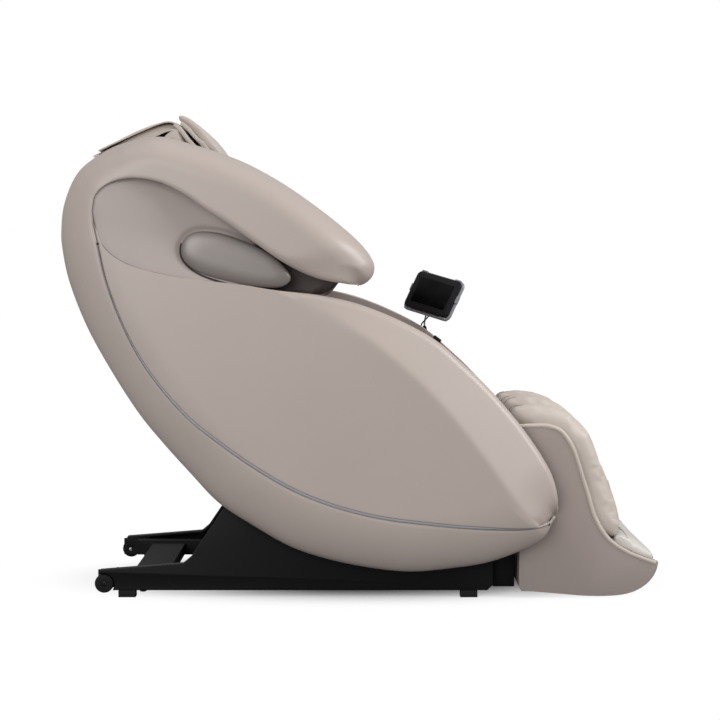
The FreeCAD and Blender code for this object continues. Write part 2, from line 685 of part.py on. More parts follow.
LEG_FRONT = [(625, 437), (668, 427), (700, 385), (733, 289), (760, 203), (793, 154), (840, 124), (914, 93)]
LEG_SOLE = [(914, 93), (896, 48), (850, 16), (791, 6), (700, 8), (567, 18)]
ROLLER_BEARINGS = [(x, y) for x in (640, 740) for y in (-259, 251)]
PAD_FRONT = [(545, 478), (610, 487), (683, 480), (729, 444), (765, 388), (795, 303), (817, 224), (818, 160)]


def leg_frame():
    """Hinge tube, two rails and the drive lever."""
    hx, hz = dim("hinge_x"), dim("hinge_z")
    tube = rod("knee_tube", 14, 404, ("dims.hinge_x", -202, "dims.hinge_z"))
    parts = [tube]
    rail = polygon([(hx - 8, hz - 6), (hx + 4, hz + 10), (550, 428), (556, 420), (556, 150), (534, 150),
                    (534, 400)])
    for side, inner in (("right", 146), ("left", -168)):
        parts.append(side_body(f"leg_rail_{side}", rail, inner, 22))
    lever = polygon([(hx - 12, hz), (hx + 12, hz), (487, 286), (480, 279), (464, 279), (457, 286)])
    parts.append(side_body("leg_lever", lever, -22, 8))
    parts.append(rod("lever_stub", 6, 10, (471, 8.5, 292)))
    bore = rod("knee_bore", "dims.hinge_pin + dims.running_gap", 420, ("dims.hinge_x", -210, "dims.hinge_z"))
    node(cut("leg_frame", fuse("leg_frame_parts", parts), [bore]))


def leg_shell():
    """The leg rest's shell: two side walls, a back wall and the sole, open at the front."""
    top_rear = (520, 437)
    path = [[top_rear, LEG_FRONT[0]], LEG_FRONT, LEG_SOLE]
    corners = [LEG_SOLE[-1], (562, 30), (562, 330), (520, 400), top_rear]
    path += [[a, b] for a, b in zip(corners, corners[1:])]
    body = side_body("leg_walls", path, "0 - dims.leg_half", "dims.leg_half * 2")
    inside = "dims.leg_side - dims.leg_half", "2 * dims.leg_half - 2 * dims.leg_side"
    room = [(572, 38), (572, 700), (1000, 700), (1000, 60), (868, 60), (846, 38)]
    side_pocket(body, "leg_room", edges(polygon(room)), *inside)
    behind = [(500, 200), (500, 500), (573, 500), (573, 445), (561.9, 436.9), (561.9, 200)]
    side_pocket(body, "hinge_room", edges(polygon(behind)), *inside)
    posts, holes = [], []
    for i, (x, y) in enumerate(ROLLER_BEARINGS):
        posts.append(box(f"bearing_post_{i}", (24, 8, 62), (x - 12, y, 38)))
        holes.append(rod(f"bearing_hole_{i}", 5.05, 20, (x, y - 5, 84)))
    node(cut("leg_shell", fuse("leg_shell_posts", [body] + posts), holes))

    inner = [(x + 5, z + 8) for x, z in LEG_FRONT[:-1]] + [(918, 99)]
    path = [LEG_FRONT, [LEG_FRONT[-1], inner[-1]], inner[::-1], [inner[0], LEG_FRONT[0]]]
    path = [[(x + 0.3, z + 0.5) for x, z in stretch] for stretch in path]
    pair("leg_edging", side_body("leg_edging_right", path, 265, 18))
    blocks = [box(f"leg_slider_{i}", (17, 16, 110), (544.5, y, 290)) for i, y in enumerate((-186, 170))]
    node(group("leg_sliders", blocks))


def leg_cushions():
    """Three calf pads with two wells between them, the pads in the wells, and the toe pad."""
    rear = [(545, 478), (526, 468), (522, 452)]
    corners = [PAD_FRONT[-1], (804, 138), (574, 138), (574, 452), rear[-1]]
    path = [PAD_FRONT] + [[a, b] for a, b in zip(corners, corners[1:])] + [rear[::-1]]
    middle = side_body("calf_pad_middle", path, -68, 136)
    outer = side_body("calf_pad_outer_right", path, 178, 82)
    node(group("calf_pads", [middle, outer, mirrored("calf_pad_outer_left", outer)]))

    well = polygon([(574, 140), (574, 430), (600, 436), (640, 400), (650, 200), (640, 140)])
    inner = side_body("calf_well_right", well, 70, 106)
    node(group("calf_well_pads", [inner, mirrored("calf_well_left", inner)]))

    toe = polygon([(838, 136), (906, 96), (866, 64), (800, 64), (812, 136)])
    node(side_body("toe_pad", toe, -260, 520))
    for label, x in (("foot_roller_rear", 640), ("foot_roller_front", 740)):
        axle = rod(label + "_axle", 5, 500, (x, -250, 84))
        drums = [rod(f"{label}_drum_{i}", 20, 90, (x, y, 84)) for i, y in enumerate((-170, 80))]
        node(fuse(label, [axle] + drums))
    node(box("leg_foot_pad", (40, 440, 4.3), (745, -220, 0)))


# ---------------------------------------------------------------- controls

TABLET_CENTRE = Vector(367, 300, 756)
TABLET_RIGHT = Vector(0.78, -0.583, -0.227)
TABLET_UP = Vector(0.4275, 0.2115, 0.879)


def tablet_frame():
    """Axes of the tablet: along its width, up its face, and out of its screen."""
    right = Vector(TABLET_RIGHT).normalize()
    out = right.cross(TABLET_UP).normalize()
    up = out.cross(right)
    return right, up, out


def controls():
    """The tablet in its holder on a stalk, and the dial on the left arm."""
    right, up, out = tablet_frame()
    turn = Rotation(right, up, out, "ZYX")
    long, high, deep = dim("tablet_long"), dim("tablet_high"), dim("tablet_deep")

    def slab(name, size, low_corner):
        part = DOC.addObject("Part::Box", name)
        bind(part, Length=size[0], Width=size[1], Height=size[2])
        base = TABLET_CENTRE + right * low_corner[0] + up * low_corner[1] + out * low_corner[2]
        part.Placement = Placement(Vector(0, 0, 0), turn)
        return put(part, tuple(base))

    low = Vector(-long / 2, -high / 2, -deep / 2)
    node(slab("tablet", ("dims.tablet_long", "dims.tablet_high", "dims.tablet_deep"), low))
    case = slab("holder_block", (long + 14, high + 14, deep + 6), low - Vector(7, 7, 5))
    room = slab("holder_room", (long + 0.4, high + 0.4, deep + 20), low - Vector(0.2, 0.2, 0.2))
    grip = TABLET_CENTRE - up * 30 - out * (deep / 2 + 14)
    knuckle = rod("holder_knuckle", 8, 18, tuple(grip - right * 9), tuple(right))
    web = slab("holder_web", (16, 12, 12), (-8, -36, -deep / 2 - 14))
    bore = rod("holder_bore", 3.05, 60, tuple(grip - right * 30), tuple(right))
    parts = fuse("holder_parts", [cut("holder_shell", case, [room]), web, knuckle])
    node(cut("tablet_holder", parts, [bore]))

    pin = rod("stalk_pin", 3, 30, tuple(grip - right * 18), tuple(right))
    ear = rod("stalk_ear", 7, 6, tuple(grip - right * 19), tuple(right))
    foot = Vector(343, 328, 665)
    arm = straight_rod("stalk_arm", 3, foot + Vector(0, 0, 24), grip - right * 16)
    collar = rod("stalk_collar", 10, 28, tuple(foot), (0, 0, 1))
    node(fuse("tablet_stalk", [pin, collar, ear, arm]))

    boss = rod("socket_boss", 13, 38, (foot.x, -foot.y, 638), (0, 0, 1))
    well = rod("socket_well", 10.05, 40, (foot.x, -foot.y, foot.z - 0.5), (0, 0, 1))
    skin = feature("socket_clearance", lens(-0.3, 0.0))
    node(mirrored("stalk_socket", cut("socket_right", boss, [skin, well])))
    node(rod("arm_dial", 12, 9, (375, 282, 627), (0.6, 0, 0.8)))


def straight_rod(name, radius, start, end):
    run = end - start
    return rod(name, radius, run.Length, tuple(start), tuple(run.normalize()))


# ---------------------------------------------------------------- build and write

def check_document():
    bad = [o.Label for o in DOC.Objects if "Invalid" in o.State or "Error" in o.State]
    if bad:
        raise RuntimeError(f"these objects failed to compute: {bad}")
    for part in NODES:
        shape = part.Shape
        if shape.isNull() or not shape.isValid() or not shape.Solids or shape.Volume <= 0:
            raise RuntimeError(f"{part.Label} has no valid solid")


def write_parts():
    os.makedirs("parts", exist_ok=True)
    for old in os.listdir("parts"):
        os.remove(os.path.join("parts", old))
    for part in NODES:
        part.Shape.exportStep(os.path.join("parts", part.Label + ".step"))
    print(len(NODES), "parts written")


def main():
    fill_sheet()
    base_covers()
    base_frame()
    slide_rails()
    base_small_parts()
    transport_wheels()
    carriage()
    actuator("tilt_actuator", (170, 150), (372, 284), 110, 180, 6.05)
    pod_frame()
    actuator("leg_actuator", (150, 150), (471, 292), 0, 270, 6.05)
    shell_panels()
    dish_and_speaker()
    back_cover()
    arm_liners()
    cushions()
    massage_unit()
    leg_frame()
    leg_shell()
    leg_cushions()
    controls()
    DOC.recompute()
    check_document()
    write_parts()


main()
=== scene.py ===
import json
from math import cos, pi, radians, sin

import bmesh
import bpy
import numpy as np
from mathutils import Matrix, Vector
from mathutils.bvhtree import BVHTree

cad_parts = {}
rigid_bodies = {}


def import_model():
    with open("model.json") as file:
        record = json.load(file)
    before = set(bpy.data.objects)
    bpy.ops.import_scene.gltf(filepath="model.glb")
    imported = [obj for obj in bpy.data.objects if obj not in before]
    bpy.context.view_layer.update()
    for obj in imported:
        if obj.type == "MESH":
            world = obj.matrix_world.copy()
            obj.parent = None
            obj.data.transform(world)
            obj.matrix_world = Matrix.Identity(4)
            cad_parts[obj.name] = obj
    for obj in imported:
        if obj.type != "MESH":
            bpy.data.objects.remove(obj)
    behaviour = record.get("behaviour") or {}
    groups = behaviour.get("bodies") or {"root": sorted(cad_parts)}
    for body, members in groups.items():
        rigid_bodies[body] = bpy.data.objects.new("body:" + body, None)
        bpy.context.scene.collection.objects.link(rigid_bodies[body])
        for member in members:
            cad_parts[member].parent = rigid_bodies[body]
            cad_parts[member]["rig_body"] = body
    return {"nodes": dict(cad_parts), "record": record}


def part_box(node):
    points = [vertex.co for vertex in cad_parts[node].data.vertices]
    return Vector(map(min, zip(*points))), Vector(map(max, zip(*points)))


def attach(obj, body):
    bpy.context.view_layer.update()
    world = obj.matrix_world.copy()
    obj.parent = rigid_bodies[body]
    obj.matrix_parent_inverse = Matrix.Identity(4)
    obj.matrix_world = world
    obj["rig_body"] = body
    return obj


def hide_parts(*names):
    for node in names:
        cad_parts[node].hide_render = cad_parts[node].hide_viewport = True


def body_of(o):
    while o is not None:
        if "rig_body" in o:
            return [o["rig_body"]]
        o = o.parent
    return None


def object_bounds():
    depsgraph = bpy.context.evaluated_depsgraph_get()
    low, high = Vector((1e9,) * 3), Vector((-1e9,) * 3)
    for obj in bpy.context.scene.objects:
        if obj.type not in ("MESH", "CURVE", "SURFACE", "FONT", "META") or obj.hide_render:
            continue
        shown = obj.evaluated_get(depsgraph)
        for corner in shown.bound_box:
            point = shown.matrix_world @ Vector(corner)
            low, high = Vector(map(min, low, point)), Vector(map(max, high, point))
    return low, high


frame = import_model()
NODES = frame["nodes"]
SLOT_OF = {s["node"]: s["material_slot"] for s in frame["record"]["subparts"]}
CAD_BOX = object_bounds()

# Design coordinates are millimetres from the middle of the four feet: x forward, y to the sitter's left, z up.
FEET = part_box("base_feet")
BASE_X = (FEET[0].x + FEET[1].x) / 2
RIM_Y, BULGE_Y = 300.0, abs(CAD_BOX[0].y) * 1000
LEAN = radians(22)
SIDES = (("right", -1), ("left", 1))
SIGN = dict(SIDES)
LIGHT, DARK, PLASTIC = "leather_light", "leather_dark", "black_plastic"


def at(x, y, z):
    """Design millimetres to the row frame's metres."""
    return Vector((x / 1000 + BASE_X, y / 1000, z / 1000))


def to_row(points):
    """An (n, 3) array of design millimetres as row-frame metres."""
    out = np.asarray(points, float) / 1000
    out[:, 0] += BASE_X
    return out


def back_at(along, out, y=0.0):
    """A design point measured up the backrest and out in front of it."""
    return 10 - along * sin(LEAN) + out * cos(LEAN), y, 431 + along * cos(LEAN) + out * sin(LEAN)


# ---- materials

def add(tree, kind, **settings):
    """A shader node; a setting names one of its inputs or one of its properties."""
    node = tree.nodes.new("ShaderNode" + kind)
    for key, value in settings.items():
        if key in node.inputs:
            node.inputs[key].default_value = value
        else:
            setattr(node, key, value)
    return node


def link(a, out, b, into):
    """Joins two nodes of one tree."""
    a.id_data.links.new(a.outputs[out], b.inputs[into])


def scaled(tree, low, high, to_low=0.0, to_high=1.0, **settings):
    """A node that maps low..high to to_low..to_high."""
    return add(tree, "MapRange", **{"From Min": low, "From Max": high, "To Min": to_low, "To Max": to_high}, **settings)


def rgb(r, g, b):
    """An sRGB colour out of 255 as linear RGB."""
    return [(c / 255 / 12.92) if c <= 10 else ((c / 255 + 0.055) / 1.055) ** 2.4 for c in (r, g, b)]


def surface(name, colour, rough, metal=0.0, mottle=0.08, mottle_scale=6.0, grain="noise", scale=900.0,
            depth=4e-5, coat=0.0, sheen=0.0, edge_highlight=0.15, specular=0.5, rough_spread=0.08):
    """A procedural finish: drifting colour, fine grain in bump and roughness, and lighter convex edges as a painted
    edge highlight.
    """
    def tint(gain, lift=0.0):
        return tuple(min(1.0, c * gain + lift) for c in rgb(*colour)) + (1.0,)
    material = bpy.data.materials.new(name)
    material.use_nodes = True
    tree = material.node_tree
    bsdf = tree.nodes["Principled BSDF"]
    coords = add(tree, "TexCoord")
    cloud = add(tree, "TexNoise", Scale=mottle_scale, Detail=5.0, Roughness=0.6)
    link(coords, "Object", cloud, "Vector")
    drift = add(tree, "Mix", data_type="RGBA")
    drift.inputs[6].default_value, drift.inputs[7].default_value = tint(1 - mottle), tint(1 + mottle)
    link(cloud, "Fac", drift, 0)

    # Convex edges found by pointiness are lightened in colour: a painted edge highlight.
    edge = scaled(tree, 0.52, 0.62)
    link(add(tree, "NewGeometry"), "Pointiness", edge, "Value")
    amount = add(tree, "Math", operation="MULTIPLY")
    amount.inputs[1].default_value = edge_highlight
    link(edge, "Result", amount, 0)
    highlit_edges = add(tree, "Mix", data_type="RGBA")
    highlit_edges.inputs[7].default_value = tint(1.6, 0.03)
    link(amount, "Value", highlit_edges, 0)
    link(drift, 2, highlit_edges, 6)
    link(highlit_edges, 2, bsdf, "Base Color")

    if grain == "leather":
        pattern, pin = add(tree, "TexVoronoi", feature="DISTANCE_TO_EDGE", Scale=scale), "Distance"
        warp = add(tree, "TexNoise", Scale=scale * 0.4, Detail=2.0)
        mixed = add(tree, "Mix", data_type="VECTOR")
        mixed.inputs[0].default_value = 0.012
        link(coords, "Object", warp, "Vector")
        link(coords, "Object", mixed, 4)
        link(warp, "Color", mixed, 5)
        link(mixed, 1, pattern, "Vector")
    elif grain == "brushed":
        stretch = add(tree, "Mapping", Scale=(1.0, 1.0, 18.0))
        link(coords, "Object", stretch, "Vector")
        pattern, pin = add(tree, "TexNoise", Scale=scale, Detail=3.0), "Fac"
        link(stretch, "Vector", pattern, "Vector")
    else:
        pattern, pin = add(tree, "TexNoise", Scale=scale, Detail=4.0), "Fac"
        link(coords, "Object", pattern, "Vector")
    bump = add(tree, "Bump", Strength=0.5, Distance=depth)
    link(pattern, pin, bump, "Height")
    link(bump, "Normal", bsdf, "Normal")

    spread = scaled(tree, 0.0, 1.0, rough - rough_spread, rough + rough_spread)
    link(cloud, "Fac", spread, "Value")
    link(spread, "Result", bsdf, "Roughness")
    finish = {"Metallic": metal, "Coat Weight": coat, "Coat Roughness": 0.25, "Sheen Weight": sheen,
              "Specular IOR Level": specular}
    for key, value in finish.items():
        bsdf.inputs[key].default_value = value
    return material


MATS = {
    "shell": surface("shell_satin", (174, 162, 155), 0.42, mottle=0.025, scale=1400, depth=2e-5,
                     coat=0.12),
    "dish": surface("dish_soft_touch", (168, 157, 152), 0.52, mottle=0.03, scale=1600, depth=3e-5),
    "speaker": surface("speaker_metal", (132, 125, 122), 0.42, metal=0.45, mottle=0.03, grain="brushed",
                       scale=700, depth=2e-5, coat=0.2),
    "light_strip": surface("strip_smoked", (162, 168, 177), 0.3, metal=0.25, mottle=0.05, coat=0.6),
    # The seam line's dark tone is also laid along the dish's edge as a painted shade line.
    "seam_line": surface("seam_line", (98, 90, 88), 0.6, mottle=0.1),
    "gap": surface("gap_shadow", (46, 40, 39), 0.7, mottle=0.1),
    "black_steel": surface("powder_coat", (11, 10, 12), 0.6, specular=0.16, mottle=0.12, scale=1500,
                           depth=8e-5, edge_highlight=0.2),
    "steel": surface("zinc_steel", (176, 178, 182), 0.3, metal=1.0, mottle=0.1, grain="brushed", scale=900),
    "black_plastic": surface("moulded_black", (9, 8, 10), 0.5, specular=0.16, mottle=0.12, scale=2200,
                             depth=7e-5, edge_highlight=0.25),
    "rubber": surface("rubber", (17, 17, 18), 0.75, specular=0.3, mottle=0.15, scale=1200, depth=0.0001),
    "dark_lining": surface("dark_lining", (70, 60, 57), 0.75, mottle=0.12, scale=1700, depth=0.0002,
                           sheen=0.25),
    "leather_dark": surface("leather_dark", (74, 62, 59), 0.5, mottle=0.1, grain="leather", scale=520,
                            depth=0.00025, sheen=0.1),
    "leather_light": surface("leather_light", (186, 175, 166), 0.5, mottle=0.05, grain="leather", scale=560,
                             depth=0.00022, sheen=0.08),
    "leather_shell": surface("leg_satin", (152, 140, 134), 0.48, mottle=0.03, scale=1400, depth=2e-5,
                             coat=0.08),
    "thread": surface("thread", (190, 176, 166), 0.6, mottle=0.1, scale=3000, depth=0.0001),
    "toe": surface("toe_leather", (190, 186, 180), 0.45, mottle=0.04, grain="leather", scale=560,
                   depth=0.0002),
    "screen": surface("screen_glass", (2, 2, 3), 0.28, mottle=0.3, scale=60, depth=4e-6, edge_highlight=0.0,
                      specular=0.08, rough_spread=0.02),
    "bezel": surface("tablet_bezel", (16, 16, 18), 0.5, specular=0.18, mottle=0.1, scale=2000,
                     depth=4e-5),
    "tablet_shell": surface("tablet_shell", (128, 129, 134), 0.45, mottle=0.08, scale=2000,
                            depth=5e-5),
}


# ---- mesh tools

def piece(name, verts, faces, material, body="pod", slot=None, stands_for=None, smooth=True):
    """A mesh in row-frame metres that rides on a body."""
    mesh = bpy.data.meshes.new(name)
    mesh.from_pydata([tuple(map(float, v)) for v in verts], [], faces)
    mesh.validate()
    obj = bpy.data.objects.new(name, mesh)
    bpy.context.collection.objects.link(obj)
    return dress(obj, material, body, slot, stands_for, smooth)


def dress(obj, material, body="pod", slot=None, stands_for=None, smooth=True):
    """Gives the piece its finish and body, and hides the CAD node that it stands for; slot is not used."""
    obj.data.materials.clear()
    obj.data.materials.append(MATS[material])
    if smooth:
        obj.data.polygons.foreach_set("use_smooth", [True] * len(obj.data.polygons))
    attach(obj, body)
    if stands_for:
        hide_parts(stands_for)
    return obj


def modifier(obj, kind, **settings):
    """A modifier with its settings."""
    mod = obj.modifiers.new(kind.title(), kind)
    for key, value in settings.items():
        setattr(mod, key, value)
    return mod


def bevel(obj, width, segments, angle):
    """Eases the edges sharper than an angle in degrees."""
    modifier(obj, "BEVEL", width=width, segments=segments, limit_method="ANGLE", angle_limit=radians(angle))


def bake(obj):
    """Applies every modifier."""
    mesh = bpy.data.meshes.new_from_object(obj.evaluated_get(bpy.context.evaluated_depsgraph_get()))
    obj.modifiers.clear()
    obj.data = mesh


def grid_faces(rows, cols, wrap=False):
    """Quads over rows x cols points; wrap joins the last row to the first."""
    faces = []
    for i in range(rows if wrap else rows - 1):
        k = (i + 1) % rows
        for j in range(cols - 1):
            faces.append((i * cols + j, k * cols + j, k * cols + j + 1, i * cols + j + 1))
    return faces


def woven(layers):
    """The points and quads of a surface through curves side by side."""
    return to_row(np.stack(layers, axis=1).reshape(-1, 3)), grid_faces(len(layers[0]), len(layers))


def ring_faces(rings, sides, base=0):
    """Quads between rings of points, and a cap on each end."""
    faces = []
    for i in range(base, base + (rings - 1) * sides, sides):
        for k in range(sides):
            m = (k + 1) % sides
            faces.append((i + k, i + m, i + sides + m, i + sides + k))
    last = base + (rings - 1) * sides
    return faces + [tuple(range(base, base + sides))[::-1], tuple(range(last, last + sides))]


def spline(points, count, closed=False):
    """count points on a smooth curve through points, evenly spaced along it."""
    pts = np.asarray(points, float)
    if closed:
        pts = np.vstack([pts[-2:], pts, pts[:3]])
    knots = np.concatenate([[0], np.cumsum(np.sqrt(np.linalg.norm(np.diff(pts, axis=0), axis=1)) + 1e-9)])
    slopes = np.gradient(pts, knots, axis=0)
    ends = (knots[2], knots[-3]) if closed else (knots[0], knots[-1])
    fine = np.linspace(*ends, 3000)
    k = np.clip(np.searchsorted(knots, fine, side="right") - 1, 0, len(knots) - 2)
    h = (knots[k + 1] - knots[k])[:, None]
    t = (fine - knots[k])[:, None] / h
    curve = ((2 * t**3 - 3 * t**2 + 1) * pts[k] + (t**3 - 2 * t**2 + t) * h * slopes[k]
             + (3 * t**2 - 2 * t**3) * pts[k + 1] + (t**3 - t**2) * h * slopes[k + 1])
    along = lengths(curve)
    want = np.linspace(0, along[-1], count + 1)[:-1] if closed else np.linspace(0, along[-1], count)
    return np.stack([np.interp(want, along, curve[:, i]) for i in range(pts.shape[1])], axis=1)


def lengths(curve):
    """The distance travelled along a curve, at each of its points."""
    return np.concatenate([[0], np.cumsum(np.linalg.norm(np.diff(curve, axis=0), axis=1))])


def normals_of(line):
    """Unit normals to the left of a plane curve."""
    tangent = np.gradient(line, axis=0)
    tangent /= np.linalg.norm(tangent, axis=1)[:, None]
    return np.column_stack([-tangent[:, 1], tangent[:, 0]])


def lifted(points, y):
    """Side-view points as design points at y."""
    return np.column_stack([points[:, 0], np.broadcast_to(y, len(points)), points[:, 1]])


def matched(pairs, count):
    """Two smooth curves through matched landmarks, sampled together."""
    both = spline(pairs, count)
    return both[:, :2], both[:, 2:]


def distance(points, line, signed=False):
    """Distance from each point to an open polyline; signed is positive on its left."""
    p, a, b = points[:, None, :], line[None, :-1, :], line[None, 1:, :]
    ab = b - a
    t = np.clip(((p - a) * ab).sum(2) / np.maximum((ab**2).sum(2), 1e-12), 0, 1)
    gap = p - (a + t[..., None] * ab)
    d = np.sqrt((gap**2).sum(2))
    best = d.argmin(1)
    rows = np.arange(len(points))
    if not signed:
        return d[rows, best]
    turn = ab[0, best, 0] * gap[rows, best, 1] - ab[0, best, 1] * gap[rows, best, 0]
    return d[rows, best] * np.sign(turn)


def roll(d, radius):
    """0 at an edge rising to 1 over radius, as a quarter ellipse."""
    t = np.clip(d / radius, 0, 1)
    return np.sqrt(np.maximum(0, 1 - (1 - t) ** 2))


def step(v, low, high):
    """0 below low rising smoothly to 1 above high."""
    t = np.clip((v - low) / (high - low), 0, 1)
    return t * t * (3 - 2 * t)


# ---- the side shells

# Side-view landmarks (x, z). Rim of the outer shell matched to its inner edge: front tip, belly, back, crown, hood.
RIM_PAIRS = [
    (649, 212, 643, 204), (622, 160, 582, 189), (562, 125, 520, 189), (482, 96, 455, 193), (383, 80, 370, 202),
    (283, 72, 280, 211), (183, 82, 195, 225), (84, 102, 105, 249), (-16, 135, 5, 286), (-116, 192, -75, 330),
    (-198, 247, -150, 380), (-268, 321, -225, 436), (-335, 396, -290, 495), (-395, 470, -345, 560),
    (-467, 583, -400, 645), (-527, 695, -440, 732), (-569, 807, -468, 818), (-584, 882, -485, 895),
    (-587, 920, -493, 935), (-579, 994, -497, 975), (-547, 1069, -488, 1015), (-504, 1109, -455, 1043),
    (-458, 1133, -424, 1054), (-414, 1151, -388, 1056), (-340, 1163, -328, 1045), (-265, 1146, -269, 1016),
    (-203, 1127, -220, 981), (-129, 1099, -170, 949), (-40, 1051, -105, 903), (34, 1001, -52, 865), (108, 944, 4, 832),
    (158, 899, 52, 812), (184, 866, 90, 803), (194, 842, 112, 800), (190, 818, 128, 797), (176, 803, 140, 796),
    (158, 797, 148, 795),
]
# The light strip matched to the arm panel's upper edge: dish, arm top, front.
LEAF_PAIRS = [
    (-495, 950, -494, 948), (-484, 897, -470, 890), (-466, 813, -424, 853), (-439, 732, -362, 831),
    (-398, 642, -290, 816), (-348, 564, -205, 805), (-266, 470, -130, 796), (-197, 414, -50, 783),
    (-111, 353, 62, 770), (-21, 299, 158, 747), (63, 262, 257, 707), (163, 232, 347, 657), (240, 217, 407, 606),
    (314, 208, 466, 551), (400, 199, 522, 490), (489, 193, 571, 429), (552, 190, 614, 366), (604, 191, 641, 314),
    (623, 194, 653, 266), (631, 196, 654, 234), (643, 204, 649, 212),
]
# The dish's upper edge matched to its lower edge.
DISH_PAIRS = [
    (-497, 978, -496, 962), (-488, 1015, -485, 918), (-461, 1041, -463, 881), (-418, 1054, -424, 853),
    (-374, 1055, -378, 835), (-321, 1042, -330, 823), (-269, 1016, -262, 811), (-225, 985, -200, 804),
    (-181, 957, -154, 799), (-129, 920, -110, 793), (-90, 893, -78, 787),
]
HOOD_CREASE = [
    (-420, 1026), (-321, 1012), (-269, 990), (-200, 946), (-150, 918), (-111, 898), (-70, 880), (-42, 867), (-15, 860),
    (11, 858), (44, 860), (75, 867), (110, 880), (160, 902), (240, 940),
]
CREASE = [
    (9, 758), (114, 703), (199, 648), (324, 538), (413, 438), (489, 338), (553, 252), (584, 218),
]
SPEAKER = [
    (-283, 880), (-275, 908), (-250, 925), (-198, 925), (-146, 910), (-76, 879), (-34, 846), (-12, 812), (-30, 793),
    (-93, 790), (-181, 805), (-245, 829), (-275, 855),
]

RIM, SEAM = matched(RIM_PAIRS, 340)
BELLY = RIM[: int(340 * 0.62)]
TRIM, LEAF_TOP = matched(LEAF_PAIRS, 300)
ARM_EDGE = LEAF_TOP[108:]
CREASE_LINE = spline(CREASE, 80)
HOOD_LINE = spline(HOOD_CREASE, 60)
SPEAKER_LINE = spline(SPEAKER, 120, closed=True)


def belly_y(points):
    """Distance of the bulged side from the middle plane, rolled off towards the belly and the back."""
    return RIM_Y + (BULGE_Y - RIM_Y) * roll(distance(points, BELLY), 150)


def band(side):
    """The outer shell: a rolled band from the front tip round to the hood, closed inside."""
    rows = np.arange(len(RIM))
    lip = step(rows, 232, 330)
    reach = 150 - 75 * step(rows, 190, 260)
    layers = [lifted(RIM, RIM_Y - 3)]
    for s in np.linspace(0, 1, 40) ** 2.0:
        points = RIM + (SEAM - RIM) * s
        y = RIM_Y + (BULGE_Y - RIM_Y) * roll(distance(points, RIM), reach)
        fall = 1 - roll(distance(points, SEAM) + 0.5, 8 + 6 * lip)
        y -= fall * (4 + 8 * lip) * step(rows, 2, 16)
        width = 2 + 12 * step(points[:, 0], -20, 110)
        below = width * np.logaddexp(0, -distance(points, HOOD_LINE, signed=True) / width)
        y -= 36 * lip * (1 - np.exp(-below / 60)) * roll(distance(points, RIM), 60)
        layers.append(lifted(points, y))
    inner = [lifted(p, RIM_Y + 1) for p in (SEAM, SEAM + (RIM - SEAM) * 0.5)]
    inner.append(layers[0] + (inner[1] - layers[0]) * 0.06)
    side_piece(f"outer_shell_{side}", layers + [layers[-1] - (0, 9, 0)] + inner, side, "shell", "outer_shell_" + side)


def side_piece(name, layers, side, material, stands_for=None, thick=4.0):
    """Curves side by side, drawn for +Y, mirrored for the right side and given a wall."""
    verts, faces = woven(layers)
    if side == "right":
        faces = [f[::-1] for f in faces]
    obj = piece(name, verts * (1, SIGN[side], 1), faces, material, stands_for=stands_for)
    outward(obj, SIGN[side])
    if thick:
        modifier(obj, "SOLIDIFY", thickness=thick / 1000, offset=-1.0, use_even_offset=False)
    return obj


def outward(obj, sign):
    """Turns the faces so that the piece's middle faces out along Y."""
    if sum(p.normal.y * p.area for p in obj.data.polygons) * sign < 0:
        obj.data.flip_normals()


def leaf(side):
    """The arm panel: flat in the middle, with a facet above the crease and a rolled top edge."""
    shares = np.concatenate([[0, 0.004], np.linspace(0.012, 0.9, 76), 1 - np.linspace(0.31, 0, 14) ** 2])
    layers = []
    for s in np.unique(np.round(shares, 5)):
        points = TRIM + (LEAF_TOP - TRIM) * s
        x, z = points.T
        above = distance(points, CREASE_LINE, signed=True)
        fade = step(x, -160, 220)
        width = 13 - 10 * fade
        y = belly_y(points) - 0.48 * fade * np.minimum(width * np.logaddexp(0, above / width), 150)
        y -= 14 * (1 - roll(distance(points, ARM_EDGE), 14)) * step(x, -60, 60) * step(z, 215, 330)
        y -= 3 * (1 - roll(distance(points, TRIM) + 0.2, 5)) * step(636 - x, 6, 40)
        layers.append(lifted(points, y))
    top = layers[-1] - (0, 9, 0)
    cap = np.column_stack([top[:, 0], np.minimum(304, top[:, 1]), top[:, 2] - 1])
    layers = [layers[0] - (0, 8, 0)] + layers + [top, cap]
    side_piece(f"arm_panel_{side}", layers, side, "shell", "arm_panel_" + side)


def dish(side):
    """The hollow under the hood, shallow at the back and deep under the hood's tip."""
    upper, lower = matched(DISH_PAIRS, 130)
    closed = np.vstack([SPEAKER_LINE, SPEAKER_LINE[:1]])
    layers = []
    for s in np.linspace(-0.03, 1.03, 60):
        points = lower + (upper - lower) * s
        x = points[:, 0]
        depth = (3 + 44 * step(x, -490, -210) + 26 * step(x, -180, 60)) * (0.35 + 0.65 * step(s, -0.02, 0.45))
        depth += 5 * np.exp(-(((distance(points, closed) - 4) / 7) ** 2)) + 70 * step(x, -104, -74)
        layers.append(lifted(points, belly_y(points) - depth - 3))
    # A dark hairline tube along the dish's edge, in the seam-line colour, is a painted shade line where the dish meets
    # the panels.
    seam = np.vstack([lower[8:112][::-1], upper[:60]])
    path = to_row(lifted(seam, (belly_y(seam) - 1.6) * SIGN[side]))
    tube(f"dish_edge_shade_{side}", path, 0.0009, "seam_line", "pod", "dish")
    return side_piece(f"dish_{side}", layers, side, "dish", once("dish_panels", side))


def once(node, side, keeper="left"):
    """A CAD node that holds both sides is replaced by the piece on one of them."""
    return node if side == keeper else None


